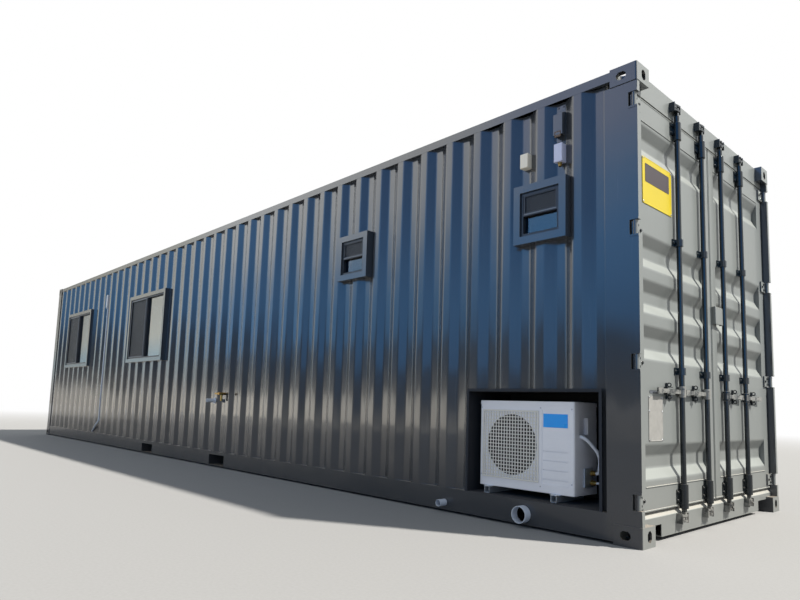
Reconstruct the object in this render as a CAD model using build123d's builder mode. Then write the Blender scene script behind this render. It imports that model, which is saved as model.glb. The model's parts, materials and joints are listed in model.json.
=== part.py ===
from build123d import *
import math
import os

# A 40 ft high-cube shipping container made into a cabin: cargo doors kept at one end, windows and
# service fittings let into one long side, and an air conditioner standing in a recess.
# Millimetres. +X points at the cargo doors, -Y at the windowed side, +Z up. The origin is the
# centre of the rectangle of the four lower casting slots, at the level of the ground.

os.makedirs("parts", exist_ok=True)

# Overall size, over the corner castings
length = 12192.0
width = 2438.0
height = 2896.0
end = length / 2
side = width / 2

# Corner castings: hollow blocks with a slot in each outward face
casting_length = 178.0
casting_width = 162.0
casting_height = 118.0
casting_plate = 28.0
casting_cheek = 12.0
casting_corner = 12.0
seat_inset_x = 103.5
seat_inset_y = 89.5
seat_slot_length = 124.0
seat_slot_width = 63.5
port_height = 66.0
port_width = 51.0
port_corner = 16.0
port_level = 62.0

# Steel frame between the castings
frame_inset = 6.0
post_end_inset = 3.0
post_wall = 6.0
post_length = 215.0
post_width = 113.0
lip_depth = 108.0
lip_width = 33.0
far_post_length = 160.0
far_post_width = 153.0
far_post_lip = 37.0
top_rail = 60.0
top_rail_wall = 3.0
top_rail_drop = 10.0
rail_bottom = 17.5
rail_top = 175.0
rail_wall = 4.5
rail_flange = 48.0
end_rail_depth = 60.0

# Fork pockets through the base
pocket_centre = 1025.0
pocket_width = 360.0
pocket_height = 115.0
pocket_wall = 6.0

# Door sill and header
sill_set_back = 51.0
sill_depth = 105.0
sill_bottom = 24.0
sill_top = 183.0
sill_slope = 10.0
sill_wall = 4.5
sill_notch_width = 191.0
sill_notch_top = 100.0
header_height = 151.0
gutter_height = 24.0
gutter_depth = 2.0

# Side walls: trapezoidal corrugation, seen from outside
wall_inset = 7.0
wall_sheet = 2.0
wall_depth = 36.0
wall_pitch = 281.0
wall_crest = 72.0
wall_slope = 69.0
wall_crest_margin = 228.0

# Far end wall and roof corrugations
end_wall_inset = 16.0
end_wall_depth = 45.0
end_wall_pitch = 250.0
end_wall_crest = 110.0
end_wall_slope = 18.0
roof_depth = 20.0
roof_pitch = 209.0
roof_crest = 91.0
roof_slope = 13.5

# Floor, cross members and insulated lining
floor_thickness = 28.0
cross_height = 122.0
cross_flange = 45.0
cross_wall = 4.0
cross_spacing = 305.0
cross_end_margin = 381.0
lining = 40.0

# Window surrounds and the aluminium windows in them
surround_face = 52.0
small_window_size = 410.0
near_window_inset = 671.0
next_window_inset = 2656.0
small_window_drop = 540.0
small_window_proud = 50.0
big_window_width = 1310.0
big_window_height = 1002.0
middle_window_x = -1340.0
far_window_x = -4500.0
big_window_drop = 535.0
big_window_proud = 40.0
sash_set_back = 14.0
sash_depth = 46.0
glass_set_back = 30.0
screen_set_back = 9.0
sash_face = 20.0
stile_face = 30.0
pane_thickness = 6.0
screen_thickness = 2.0

# Recess for the air conditioner
recess_inset = 266.0
recess_headroom = 63.0
recess_pipe_room = 205.0
recess_back_room = 143.0
recess_sheet = 3.0
recess_trim = 20.0

# Air conditioner: outdoor unit standing on two channels
unit_margin = 57.5
unit_width = 760.0
unit_depth = 285.0
unit_height = 590.0
unit_set_back = 62.0
unit_corner = 14.0
fan_offset = 275.0
fan_radius = 205.0
fan_well = 150.0
fan_hub = 42.0
fan_hub_length = 105.0
fan_blades = 3
blade_gap = 10.0
blade_thickness = 5.0
blade_sink = 8.0
guard_offset = 263.0
guard_size = 468.0
guard_depth = 8.0
guard_wire = 4.0
guard_bars = 5
panel_inset = 520.0
panel_width = 200.0
panel_height = 480.0
panel_recess = 4.0
slit_height = 6.0
slit_depth = 5.0
slit_margin = 9.0
slit_pitch = 60.0
slit_count = 4
slit_low = 31.0
handle_back = 60.0
handle_span = 105.0
handle_bottom = 383.0
handle_rise = 107.0
handle_recess = 24.0
foot_height = 49.0
foot_width = 34.0
foot_overhang = 22.0
left_foot_inset = 85.0
right_foot_inset = 136.0
foot_sheet = 4.0

# Service valves on the unit's right side, and the pipes from it to the back of the recess
valve_plate_front = 105.0
valve_plate_width = 105.0
valve_plate_bottom = 50.0
valve_plate_height = 121.0
valve_plate_thickness = 12.0
service_valve_back = 185.0
service_valve_low = 78.0
service_valve_pitch = 61.0
service_valve_size = 16.0
service_valve_length = 30.0
service_cap_size = 11.0
service_cap_length = 14.0
pipe_size = 13.0
pipe_start_back = 77.0
pipe_start_rise = 371.0
pipe_fall = 200.0
pipe_clearance = 3.0
branch_size = 8.0
pipe_sides = 8

# Cargo doors
door_gap = 12.0
leaf_side_gap = 17.0
leaf_end_gap = 13.0
leaf_set_back = 53.0
leaf_depth = 50.0
hinge_stile = 103.0
meeting_stile = 84.0
leaf_bottom_rail = 126.0
leaf_top_rail = 135.0
low_trough_margin = 148.5
high_trough_margin = 128.0
middle_trough_pitch = 283.5
middle_trough_lift = 17.0
trough_flat = 70.0
trough_slope = 70.0
trough_depth = 36.0
gasket_width = 8.0
gasket_depth = 20.0
gasket_set_back = 18.0

# Door hinges
hinge_count = 4
hinge_margin = 58.0
pin_set_back = 30.0
pin_inset = 22.0
pin_radius = 10.0
pin_fit = 0.2
notch_height = 90.0
notch_reach = 30.0
lug_thickness = 12.0
lug_proud = 3.0
knuckle_radius = 15.0
knuckle_gap = 2.0
strap_thickness = 12.0
strap_reach = 107.0

# Locking gear
rod_radius = 17.0
rod_stand_off = 26.0
outer_rod_y = 590.0
inner_rod_y = 180.0
rod_fit = 0.3
rod_end_gap = 0.3
top_cam_drop = 69.0
bottom_cam_drop = 70.0
cam_height = 46.0
cam_reach = 45.0
cam_nose = 22.0
cam_plate = 13.0
cam_back = 18.5
cam_chamfer = 10.8
cam_socket = 30.0
keeper_clearance = 8.0
tongue_clearance = 4.0
keeper_plate = 8.0
keeper_gap = 0.3
keeper_reach = 38.0
bearing_half = 24.0
bearing_chamfer = 14.0
bearing_base = 110.0
bearing_plate = 6.0
end_bearing_height = 84.0
mid_bearing_height = 46.0
low_bearing_level = 1035.0
high_bearing_level = 1885.0
end_bearing_margin = 8.0
handle_level = 903.0
handle_length = 350.0
handle_thickness = 10.0
handle_height = 26.0
hub_half = 21.0
hub_chamfer = 8.0
hub_height = 46.0
grip_length = 70.0
grip_height = 34.0
catch_offset = 183.0
catch_width = 46.0
catch_plate = 5.0
catch_clearance = 8.0
catch_reach = 38.0

# Lock box on the right leaf
lock_box_left = 14.0
lock_box_width = 138.0
lock_box_bottom = 1417.0
lock_box_height = 127.0
lock_box_depth = 27.0
lock_box_wall = 4.0

# Pipe stubs, boxes, vent, conduit and taps on the windowed side
drain_inset = 806.0
drain_z = 84.0
drain_radius = 55.0
drain_wall = 4.0
drain_proud = 58.0
waste_inset = 1506.0
waste_z = 69.0
waste_radius = 25.0
waste_wall = 3.0
waste_proud = 70.0
box_depth = 60.0
cream_box_valley = 2
cream_box_width = 68.0
box_drop = 296.0
cream_box_height = 120.0
grey_box_valley = 1
grey_box_width = 68.0
grey_box_height = 130.0
box_corner = 6.0
gland_radius = 12.0
gland_height = 22.0
vent_valley = 1
vent_width = 70.0
vent_drop = 76.0
vent_height = 162.5
vent_depth = 48.0
vent_lip = 18.0
vent_flange = 26.0
vent_sheet = 3.0
pipe_fit = 0.3
tap_pipe_x = 900.0
tap_pipe_z = 760.0
tap_pipe_radius = 22.0
tap_pipe_wall = 3.5
tap_pipe_proud = 100.0
tap_flange_radius = 34.0
tap_flange_height = 8.0
valve_x = 1130.0
valve_z = 840.0
valve_radius = 15.0
valve_proud = 75.0
valve_tail_radius = 13.0
valve_tail_drop = 82.0
lever_length = 90.0
lever_thickness = 4.0
lever_width = 16.0
conduit_margin = 680.0
conduit_drop = 356.0
conduit_half = 11.0
conduit_sides = 8
kick_level = 320.0
kick_rise = 60.0
kick_end_level = 196.0
kick_reach = 165.0
conduit_box_width = 60.0
conduit_box_height = 230.0
conduit_box_depth = 44.0
conduit_box_chamfer = 16.0
low_clip_level = 400.0
high_clip_level = 1500.0
clip_width = 46.0
clip_height = 22.0
clip_depth = 4.0

# Planes and faces that several pieces share
seat_x = end - seat_inset_x
seat_y = side - seat_inset_y
frame_side = side - frame_inset
post_face = end - post_end_inset
post_back = post_face - post_length
post_front = post_face - lip_depth
post_bottom = casting_height
post_top = height - casting_height
lip_inside = frame_side - lip_width
post_inside = frame_side - post_width
casting_inner_x = end - casting_length
casting_inner_y = side - casting_width
rail_high = height - top_rail_drop
rail_inside = frame_side - rail_flange
wall_plane = side - wall_inset
wall_top = rail_high - top_rail
wall_first_crest = post_back - wall_crest_margin
far_post_front = -(post_face - far_post_length)
far_wall_plane = -(end - end_wall_inset)
far_wall_back = far_wall_plane + end_wall_depth + wall_sheet
lining_outside = wall_plane - wall_depth - wall_sheet
lining_inside = lining_outside - lining
sill_front = end - sill_set_back
sill_back = sill_front - sill_depth
header_top = rail_high
header_bottom = header_top - header_height
floor_bottom = rail_top - floor_thickness
cross_bottom = floor_bottom - cross_height

# Places on the windowed side
small_window_centres = (end - near_window_inset, end - next_window_inset)
small_window_level = wall_top - small_window_drop - small_window_size / 2
big_window_centres = (middle_window_x, far_window_x)
big_window_level = wall_top - big_window_drop - big_window_height / 2
recess_right = end - recess_inset
recess_left = recess_right - recess_pipe_room - unit_width - unit_margin
foot_bottom = rail_top + recess_sheet
unit_left = recess_left + unit_margin
unit_right = unit_left + unit_width
unit_front = -(wall_plane - unit_set_back)
unit_back = unit_front + unit_depth
recess_back = unit_back + recess_back_room
unit_bottom = foot_bottom + foot_height
unit_top = unit_bottom + unit_height
recess_top = unit_top + recess_headroom
fan_x = unit_left + fan_offset
fan_z = unit_bottom + unit_height / 2
fan_back = unit_front + fan_well
valley_face = -(wall_plane - wall_depth)
first_valley = wall_first_crest + (wall_pitch + wall_crest) / 2
cream_box_x = first_valley - cream_box_valley * wall_pitch
grey_box_x = first_valley - grey_box_valley * wall_pitch
box_top = wall_top - box_drop
vent_x = first_valley - vent_valley * wall_pitch
vent_top = wall_top - vent_drop
vent_bottom = vent_top - vent_height
conduit_station = far_window_x + big_window_width / 2 + conduit_margin
conduit_x = first_valley - round((first_valley - conduit_station) / wall_pitch) * wall_pitch
conduit_top = wall_top - conduit_drop - conduit_box_height
drain_x = end - drain_inset
waste_x = end - waste_inset

# Places on the cargo doors
leaf_face = end - leaf_set_back
leaf_back = leaf_face - leaf_depth
leaf_outer = lip_inside - leaf_side_gap
leaf_inner = door_gap / 2 + gasket_width
leaf_bottom = sill_top + leaf_end_gap
leaf_top = header_bottom - leaf_end_gap
panel_outer = leaf_outer - hinge_stile
panel_inner = leaf_inner + meeting_stile
panel_bottom = leaf_bottom + leaf_bottom_rail
panel_top = leaf_top - leaf_top_rail
middle_trough = (panel_bottom + panel_top) / 2 + middle_trough_lift
trough_levels = [panel_bottom + low_trough_margin]
trough_levels += [middle_trough + number * middle_trough_pitch for number in (-1, 0, 1)]
trough_levels += [panel_top - high_trough_margin]
hinge_rise = (leaf_top - leaf_bottom - 2 * hinge_margin) / (hinge_count - 1)
hinge_levels = [leaf_bottom + hinge_margin + number * hinge_rise for number in range(hinge_count)]
pin_x = end - pin_set_back
pin_y = side - pin_inset
rod_x = leaf_face + rod_stand_off
top_cam_level = header_top - top_cam_drop
bottom_cam_level = sill_top - bottom_cam_drop
rods = ((-outer_rod_y, -1), (-inner_rod_y, -1), (inner_rod_y, 1), (outer_rod_y, 1))


def block(x, y, z, mode=Mode.ADD):
    """A box that fills three (low, high) spans."""
    with Locations(((x[0] + x[1]) / 2, (y[0] + y[1]) / 2, (z[0] + z[1]) / 2)):
        Box(x[1] - x[0], y[1] - y[0], z[1] - z[0], mode=mode)


def upright(x, y, z, radius, mode=Mode.ADD):
    """A vertical cylinder that fills the (low, high) span z."""
    with Locations((x, y, (z[0] + z[1]) / 2)):
        Cylinder(radius, z[1] - z[0], mode=mode)


def level_pipe(x, z, y, radius, mode=Mode.ADD):
    """A cylinder along Y that fills the (low, high) span y."""
    with Locations((x, (y[0] + y[1]) / 2, z)):
        Cylinder(radius, y[1] - y[0], rotation=(90, 0, 0), mode=mode)


def corrugation(start, stop, first_crest, pitch, crest, slope, depth):
    """Corners (along, inward) of whole waves that cover the stretch from start to stop."""
    corners = []
    left = first_crest + pitch * math.floor((start - first_crest) / pitch)
    while left < stop:
        corners.append((left, 0.0))
        corners.append((left + crest, 0.0))
        corners.append((left + crest + slope, depth))
        corners.append((left + pitch - slope, depth))
        left += pitch
    return corners


def bent_sheet(corners, thickness):
    """Closed outline of a sheet of one thickness, bent at the corners of its outer face."""
    headings = [math.atan2(b[1] - a[1], b[0] - a[0]) for a, b in zip(corners, corners[1:])]
    inner = []
    for index, (along, inward) in enumerate(corners):
        before = headings[max(index - 1, 0)]
        after = headings[min(index, len(headings) - 1)]
        reach = thickness / math.cos((after - before) / 2)
        middle = (after + before) / 2
        inner.append((along - reach * math.sin(middle), inward + reach * math.cos(middle)))
    return corners + inner[::-1]


def clear_top_castings():
    """Cut the room of the four upper castings out of a sheet or board that runs into them."""
    for along in (-1, 1):
        for across in (-1, 1):
            x = sorted((along * casting_inner_x, along * end))
            y = sorted((across * casting_inner_y, across * side))
            block(x, y, (height - casting_height, height), mode=Mode.SUBTRACT)


# Corner castings. One lower casting is hollowed and slotted, then mirrored to the other corners.
with BuildPart() as corner_castings:
    block((casting_inner_x, end), (-side, -casting_inner_y), (0, casting_height))
    uprights = corner_castings.edges().filter_by(Axis.Z)
    outer_edge = uprights.sort_by(lambda edge: edge.center().X - edge.center().Y)[-1]
    fillet(outer_edge, radius=casting_corner)
    block(
        (casting_inner_x + casting_cheek, end - casting_cheek),
        (-side + casting_cheek, -casting_inner_y - casting_cheek),
        (casting_plate, casting_height - casting_cheek),
        mode=Mode.SUBTRACT,
    )
    with BuildSketch(Plane.XY):
        with Locations((seat_x, -seat_y)):
            SlotOverall(seat_slot_length, seat_slot_width)
    extrude(amount=casting_plate, mode=Mode.SUBTRACT)
    end_plane = Plane(origin=(end, -seat_y, port_level), x_dir=(0, 1, 0), z_dir=(1, 0, 0))
    with BuildSketch(end_plane) as end_port:
        Rectangle(port_width, port_height)
        chamfer(end_port.vertices(), length=port_corner)
    extrude(amount=-casting_cheek, mode=Mode.SUBTRACT)
    side_plane = Plane(origin=(seat_x, -side, port_level), x_dir=(1, 0, 0), z_dir=(0, -1, 0))
    with BuildSketch(side_plane) as side_port:
        Rectangle(port_height, port_width)
        chamfer(side_port.vertices(), length=port_corner)
    extrude(amount=-casting_cheek, mode=Mode.SUBTRACT)
    mirror(about=Plane.XZ)
    mirror(about=Plane.YZ)
    mirror(about=Plane.XY.offset(height / 2))
corner_castings.part.label = "corner_castings"
export_step(corner_castings.part, "parts/corner_castings.step")

# Door end posts: a hollow post with a forward lip that carries the hinge lugs in notches.
with BuildPart() as door_end_posts:
    with BuildSketch(Plane.XY.offset(post_bottom)):
        with BuildLine():
            Polyline(
                (post_back, -frame_side),
                (post_face, -frame_side),
                (post_face, -lip_inside),
                (post_front, -lip_inside),
                (post_front, -post_inside),
                (post_back, -post_inside),
                close=True,
            )
        make_face()
        offset(amount=-post_wall, kind=Kind.INTERSECTION, mode=Mode.SUBTRACT)
    extrude(amount=post_top - post_bottom)
    for level in hinge_levels:
        notch_low = level - notch_height / 2
        notch_high = level + notch_height / 2
        block(
            (pin_x - notch_reach, post_face),
            (-frame_side, -lip_inside),
            (notch_low, notch_high),
            mode=Mode.SUBTRACT,
        )
        for low in (notch_low - lug_thickness, notch_high):
            high = low + lug_thickness
            block((pin_x - notch_reach, post_face), (-frame_side - lug_proud, -lip_inside), (low, high))
            upright(pin_x, -pin_y, (low, high), pin_radius + pin_fit, mode=Mode.SUBTRACT)
    mirror(about=Plane.XZ)
door_end_posts.part.label = "door_end_posts"
export_step(door_end_posts.part, "parts/door_end_posts.step")

# Hinge pins, one through each pair of lugs
with BuildPart() as hinge_pins:
    for level in hinge_levels:
        low = level - notch_height / 2 - lug_thickness
        high = level + notch_height / 2 + lug_thickness
        upright(pin_x, -pin_y, (low, high), pin_radius)
    mirror(about=Plane.XZ)
hinge_pins.part.label = "hinge_pins"
export_step(hinge_pins.part, "parts/hinge_pins.step")

# Far end posts: pressed plate, open to the inside
with BuildPart() as far_end_posts:
    with BuildSketch(Plane.XY.offset(post_bottom)):
        with BuildLine():
            Polyline(
                *bent_sheet(
                    [
                        (far_post_front, -frame_side + far_post_lip),
                        (far_post_front, -frame_side),
                        (-post_face, -frame_side),
                        (-post_face, -frame_side + far_post_width),
                        (-post_face + far_post_lip, -frame_side + far_post_width),
                    ],
                    -post_wall,
                ),
                close=True,
            )
        make_face()
    extrude(amount=post_top - post_bottom)
    mirror(about=Plane.XZ)
far_end_posts.part.label = "far_end_posts"
export_step(far_end_posts.part, "parts/far_end_posts.step")

# Top side rails: square tube between the upper castings
with BuildPart() as top_side_rails:
    with BuildSketch(Plane.YZ.offset(-casting_inner_x)):
        with Locations((-frame_side + top_rail / 2, rail_high - top_rail / 2)):
            Rectangle(top_rail, top_rail)
            Rectangle(top_rail - 2 * top_rail_wall, top_rail - 2 * top_rail_wall, mode=Mode.SUBTRACT)
    extrude(amount=2 * casting_inner_x)
    mirror(about=Plane.XZ)
top_side_rails.part.label = "top_side_rails"
export_step(top_side_rails.part, "parts/top_side_rails.step")

# Bottom side rails: channel with its web outside, cut for the fork pockets and, on the windowed
# side, for the two waste pipes
pocket_bottom = rail_bottom + pocket_wall
pocket_top = pocket_bottom + pocket_height
pocket_spans = [(c - pocket_width / 2, c + pocket_width / 2) for c in (-pocket_centre, pocket_centre)]
with BuildPart() as bottom_side_rails:
    block((-casting_inner_x, casting_inner_x), (-frame_side, -rail_inside), (rail_bottom, rail_top))
    block(
        (-casting_inner_x, casting_inner_x),
        (-frame_side + rail_wall, -rail_inside),
        (rail_bottom + rail_wall, rail_top - rail_wall),
        mode=Mode.SUBTRACT,
    )
    for span in pocket_spans:
        block(
            (span[0] - pocket_wall, span[1] + pocket_wall),
            (-frame_side, -rail_inside),
            (rail_bottom, pocket_top + pocket_wall),
            mode=Mode.SUBTRACT,
        )
    block(
        (post_back, casting_inner_x),
        (-frame_side, -rail_inside),
        (casting_height, rail_top),
        mode=Mode.SUBTRACT,
    )
    mirror(about=Plane.XZ)
    level_pipe(drain_x, drain_z, (-frame_side, -rail_inside), drain_radius - drain_wall, mode=Mode.SUBTRACT)
    level_pipe(waste_x, waste_z, (-frame_side, -rail_inside), waste_radius - waste_wall, mode=Mode.SUBTRACT)
bottom_side_rails.part.label = "bottom_side_rails"
export_step(bottom_side_rails.part, "parts/bottom_side_rails.step")

# Fork pockets: two boxed tunnels across the whole base
with BuildPart() as fork_pockets:
    for span in pocket_spans:
        block(
            (span[0] - pocket_wall, span[1] + pocket_wall),
            (-frame_side, frame_side),
            (rail_bottom, pocket_top + pocket_wall),
        )
        block(span, (-frame_side, frame_side), (pocket_bottom, pocket_top), mode=Mode.SUBTRACT)
fork_pockets.part.label = "fork_pockets"
export_step(fork_pockets.part, "parts/fork_pockets.step")

# Cross members: channels between the side rails that carry the floor, none in the fork pockets
cross_start = end - cross_end_margin
cross_limit = -post_face + end_rail_depth
cross_count = math.floor((cross_start - cross_limit) / cross_spacing) + 1
cross_webs = [cross_start - number * cross_spacing for number in range(cross_count)]
for low, high in pocket_spans:
    cross_webs = [x for x in cross_webs if x + cross_flange < low - pocket_wall or x > high + pocket_wall]
cross_half = frame_side - rail_wall
cross_middle = (cross_bottom + floor_bottom) / 2
with BuildPart() as cross_members:
    with Locations(*[(x + cross_flange / 2, 0, cross_middle) for x in cross_webs]):
        Box(cross_flange, 2 * cross_half, cross_height)
    with Locations(*[(x + (cross_flange + cross_wall) / 2, 0, cross_middle) for x in cross_webs]):
        Box(
            cross_flange - cross_wall,
            2 * cross_half,
            cross_height - 2 * cross_wall,
            mode=Mode.SUBTRACT,
        )
cross_members.part.label = "cross_members"
export_step(cross_members.part, "parts/cross_members.step")

# Far end rails: tube above the end wall and channel below it
with BuildPart() as far_end_rails:
    rail_across = (-casting_inner_y, casting_inner_y)
    block((-post_face, -post_face + end_rail_depth), rail_across, (wall_top, rail_high))
    block(
        (-post_face + top_rail_wall, -post_face + end_rail_depth - top_rail_wall),
        rail_across,
        (wall_top + top_rail_wall, rail_high - top_rail_wall),
        mode=Mode.SUBTRACT,
    )
    block((-post_face, -post_face + end_rail_depth), rail_across, (rail_bottom, rail_top))
    block(
        (-post_face + rail_wall, -post_face + end_rail_depth),
        rail_across,
        (rail_bottom + rail_wall, rail_top - rail_wall),
        mode=Mode.SUBTRACT,
    )
far_end_rails.part.label = "far_end_rails"
export_step(far_end_rails.part, "parts/far_end_rails.step")

# Door sill: folded plate with a sloping top, notched beside the castings
with BuildPart() as door_sill:
    with BuildSketch(Plane.XZ.offset(-casting_inner_y)):
        with BuildLine():
            Polyline(
                (sill_back, sill_bottom),
                (sill_front, sill_bottom),
                (sill_front, sill_top - sill_slope),
                (sill_back, sill_top),
                close=True,
            )
        make_face()
        offset(amount=-sill_wall, kind=Kind.INTERSECTION, mode=Mode.SUBTRACT)
    extrude(amount=2 * casting_inner_y)
    for sign in (-1, 1):
        ends = sorted((sign * casting_inner_y, sign * (casting_inner_y - sill_notch_width)))
        block((sill_back, sill_front), ends, (sill_bottom, sill_notch_top), mode=Mode.SUBTRACT)
        wing = sorted((sign * casting_inner_y, sign * lip_inside))
        block((post_front, sill_front), wing, (casting_height, sill_top - sill_slope))
door_sill.part.label = "door_sill"
export_step(door_sill.part, "parts/door_sill.step")

# Door header: box section between the upper castings, with wings to the posts and a rain gutter
with BuildPart() as door_header:
    with BuildSketch(Plane.XZ.offset(-casting_inner_y)):
        with Locations(((sill_back + sill_front) / 2, (header_bottom + header_top) / 2)):
            Rectangle(sill_depth, header_height)
            Rectangle(sill_depth - 2 * sill_wall, header_height - 2 * sill_wall, mode=Mode.SUBTRACT)
    extrude(amount=2 * casting_inner_y)
    for sign in (-1, 1):
        wing = sorted((sign * casting_inner_y, sign * lip_inside))
        block((post_front, sill_front), wing, (header_bottom, height - casting_height))
    block(
        (sill_front, sill_front + gutter_depth),
        (-lip_inside, lip_inside),
        (header_bottom, header_bottom + gutter_height),
    )
door_header.part.label = "door_header"
export_step(door_header.part, "parts/door_header.step")

# Side walls. The sheet is drawn as whole waves, then trimmed to the bay it fills.
recess_box_left = recess_left - recess_sheet
recess_box_right = recess_right + recess_sheet
recess_box_top = recess_top + recess_sheet
wave = corrugation(-end, end, wall_first_crest, wall_pitch, wall_crest, wall_slope, wall_depth)
wall_outline = bent_sheet([(x, inward - wall_plane) for x, inward in wave], wall_sheet)


def wall_sheet_between(start, stop):
    """The windowed side's sheet between two stations along X."""
    with BuildSketch(Plane.XY.offset(rail_top)) as bay:
        with BuildLine():
            Polyline(*wall_outline, close=True)
        make_face()
        with Locations(((start + stop) / 2, -wall_plane + wall_depth / 2)):
            Rectangle(stop - start, 4 * wall_depth, mode=Mode.INTERSECT)
    extrude(bay.sketch, amount=wall_top - rail_top)


def window_hole(centre, level, hole_width, hole_height, y, mode=Mode.SUBTRACT):
    """A rectangular block at a window, across the span y."""
    block(
        (centre - hole_width / 2, centre + hole_width / 2),
        y,
        (level - hole_height / 2, level + hole_height / 2),
        mode=mode,
    )


wall_span = (-wall_plane - wall_depth, -wall_plane + 2 * wall_depth)
with BuildPart() as window_wall:
    wall_sheet_between(far_post_front, recess_box_left)
    window_hole(small_window_centres[1], small_window_level, small_window_size, small_window_size, wall_span)
    for centre in big_window_centres:
        window_hole(centre, big_window_level, big_window_width, big_window_height, wall_span)
    level_pipe(tap_pipe_x, tap_pipe_z, wall_span, tap_pipe_radius + pipe_fit, mode=Mode.SUBTRACT)
    level_pipe(valve_x, valve_z, wall_span, valve_radius + pipe_fit, mode=Mode.SUBTRACT)
    clear_top_castings()
window_wall.part.label = "window_wall"
export_step(window_wall.part, "parts/window_wall.step")

with BuildPart() as recess_bay_wall:
    wall_sheet_between(recess_box_left, post_back)
    window_hole(small_window_centres[0], small_window_level, small_window_size, small_window_size, wall_span)
    block((recess_box_left, recess_box_right), wall_span, (rail_top, recess_box_top), mode=Mode.SUBTRACT)
recess_bay_wall.part.label = "recess_bay_wall"
export_step(recess_bay_wall.part, "parts/recess_bay_wall.step")

with BuildPart() as plain_wall:
    wall_sheet_between(far_post_front, post_back)
with BuildPart() as back_wall:
    mirror(plain_wall.part, about=Plane.XZ)
    clear_top_castings()
back_wall.part.label = "back_wall"
export_step(back_wall.part, "parts/back_wall.step")

# Far end wall: deeper, steeper waves between the far posts
far_wall_half = frame_side - far_post_width
far_wave = corrugation(
    -side, side, -end_wall_crest / 2, end_wall_pitch, end_wall_crest, end_wall_slope, end_wall_depth
)
far_outline = bent_sheet([(y, far_wall_plane + inward) for y, inward in far_wave], wall_sheet)
with BuildPart() as far_end_wall:
    with BuildSketch(Plane.XY.offset(rail_top)):
        with BuildLine():
            Polyline(*[(x, y) for y, x in far_outline], close=True)
        make_face()
        with Locations((far_wall_plane + end_wall_depth / 2, 0)):
            Rectangle(4 * end_wall_depth, 2 * far_wall_half, mode=Mode.INTERSECT)
    extrude(amount=wall_top - rail_top)
    clear_top_castings()
far_end_wall.part.label = "far_end_wall"
export_step(far_end_wall.part, "parts/far_end_wall.step")

# Roof panel: shallow waves across the container, between the top rails
roof_start = -post_face + end_rail_depth
roof_half = frame_side - top_rail
roof_wave = corrugation(-end, end, -roof_crest / 2, roof_pitch, roof_crest, roof_slope, -roof_depth)
roof_outline = bent_sheet([(x, rail_high + rise) for x, rise in roof_wave], -wall_sheet)
with BuildPart() as roof_panel:
    with BuildSketch(Plane.XZ.offset(-roof_half)):
        with BuildLine():
            Polyline(*roof_outline, close=True)
        make_face()
        with Locations(((roof_start + sill_back) / 2, rail_high)):
            Rectangle(sill_back - roof_start, 4 * roof_depth, mode=Mode.INTERSECT)
    extrude(amount=2 * roof_half)
    clear_top_castings()
roof_panel.part.label = "roof_panel"
export_step(roof_panel.part, "parts/roof_panel.step")

# Floor boards on the cross members
with BuildPart() as floor:
    block((-post_face + end_rail_depth, sill_back), (-rail_inside, rail_inside), (floor_bottom, rail_top))
    for sign in (-1, 1):
        post_corner = sorted((sign * post_inside, sign * rail_inside))
        block((post_back, sill_back), post_corner, (floor_bottom, rail_top), mode=Mode.SUBTRACT)
floor.part.label = "floor"
export_step(floor.part, "parts/floor.step")

# Insulated lining of the walls and ceiling
far_lining_front = far_wall_back + lining
lining_span = (-lining_outside, -lining_inside)
lining_openings = [(recess_box_left, recess_box_right, rail_top, recess_box_top)]
for centre in small_window_centres:
    half = small_window_size / 2
    opening = (centre - half, centre + half, small_window_level - half, small_window_level + half)
    lining_openings.append(opening)
for centre in big_window_centres:
    half = big_window_width / 2
    rise = big_window_height / 2
    opening = (centre - half, centre + half, big_window_level - rise, big_window_level + rise)
    lining_openings.append(opening)

# The windowed side is boarded in pieces round its openings
board_edges = {far_lining_front, post_back}
for opening in lining_openings:
    board_edges.update(opening[:2])
board_edges = sorted(board_edges)
lining_boards = []
for left, right in zip(board_edges, board_edges[1:]):
    met = sorted(opening[2:] for opening in lining_openings if opening[0] < right and opening[1] > left)
    bottom = rail_top
    for low, high in [*met, (wall_top, wall_top)]:
        if low > bottom:
            with BuildPart() as board:
                block((left, right), lining_span, (bottom, low))
                clear_top_castings()
            lining_boards.append(board.part)
        bottom = high
window_side_lining = Compound(label="window_side_lining", children=lining_boards)
export_step(window_side_lining, "parts/window_side_lining.step")

with BuildPart() as back_lining:
    block((far_lining_front, post_back), (lining_inside, lining_outside), (rail_top, wall_top))
    clear_top_castings()
back_lining.part.label = "back_lining"
export_step(back_lining.part, "parts/back_lining.step")

with BuildPart() as far_end_lining:
    block((far_wall_back, far_lining_front), (-lining_outside, lining_outside), (rail_top, wall_top))
    clear_top_castings()
far_end_lining.part.label = "far_end_lining"
export_step(far_end_lining.part, "parts/far_end_lining.step")

with BuildPart() as ceiling_lining:
    block((far_lining_front, sill_back), (-lining_inside, lining_inside), (wall_top - lining, wall_top))
    for sign in (-1, 1):
        corner = sorted((sign * post_inside, sign * lining_inside))
        block((post_back, sill_back), corner, (wall_top - lining, wall_top), mode=Mode.SUBTRACT)
    clear_top_castings()
ceiling_lining.part.label = "ceiling_lining"
export_step(ceiling_lining.part, "parts/ceiling_lining.step")

# Window surrounds: box frames let through wall and lining, standing proud of the waves
windows = []
for centre in small_window_centres:
    windows.append((centre, small_window_level, small_window_size, small_window_size, small_window_proud))
for centre in big_window_centres:
    windows.append((centre, big_window_level, big_window_width, big_window_height, big_window_proud))

with BuildPart() as window_surrounds:
    for centre, level, w, h, proud in windows:
        depth_span = (-wall_plane - proud, -lining_inside)
        window_hole(centre, level, w, h, depth_span, mode=Mode.ADD)
        window_hole(centre, level, w - 2 * surround_face, h - 2 * surround_face, depth_span)
window_surrounds.part.label = "window_surrounds"
export_step(window_surrounds.part, "parts/window_surrounds.step")

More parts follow.
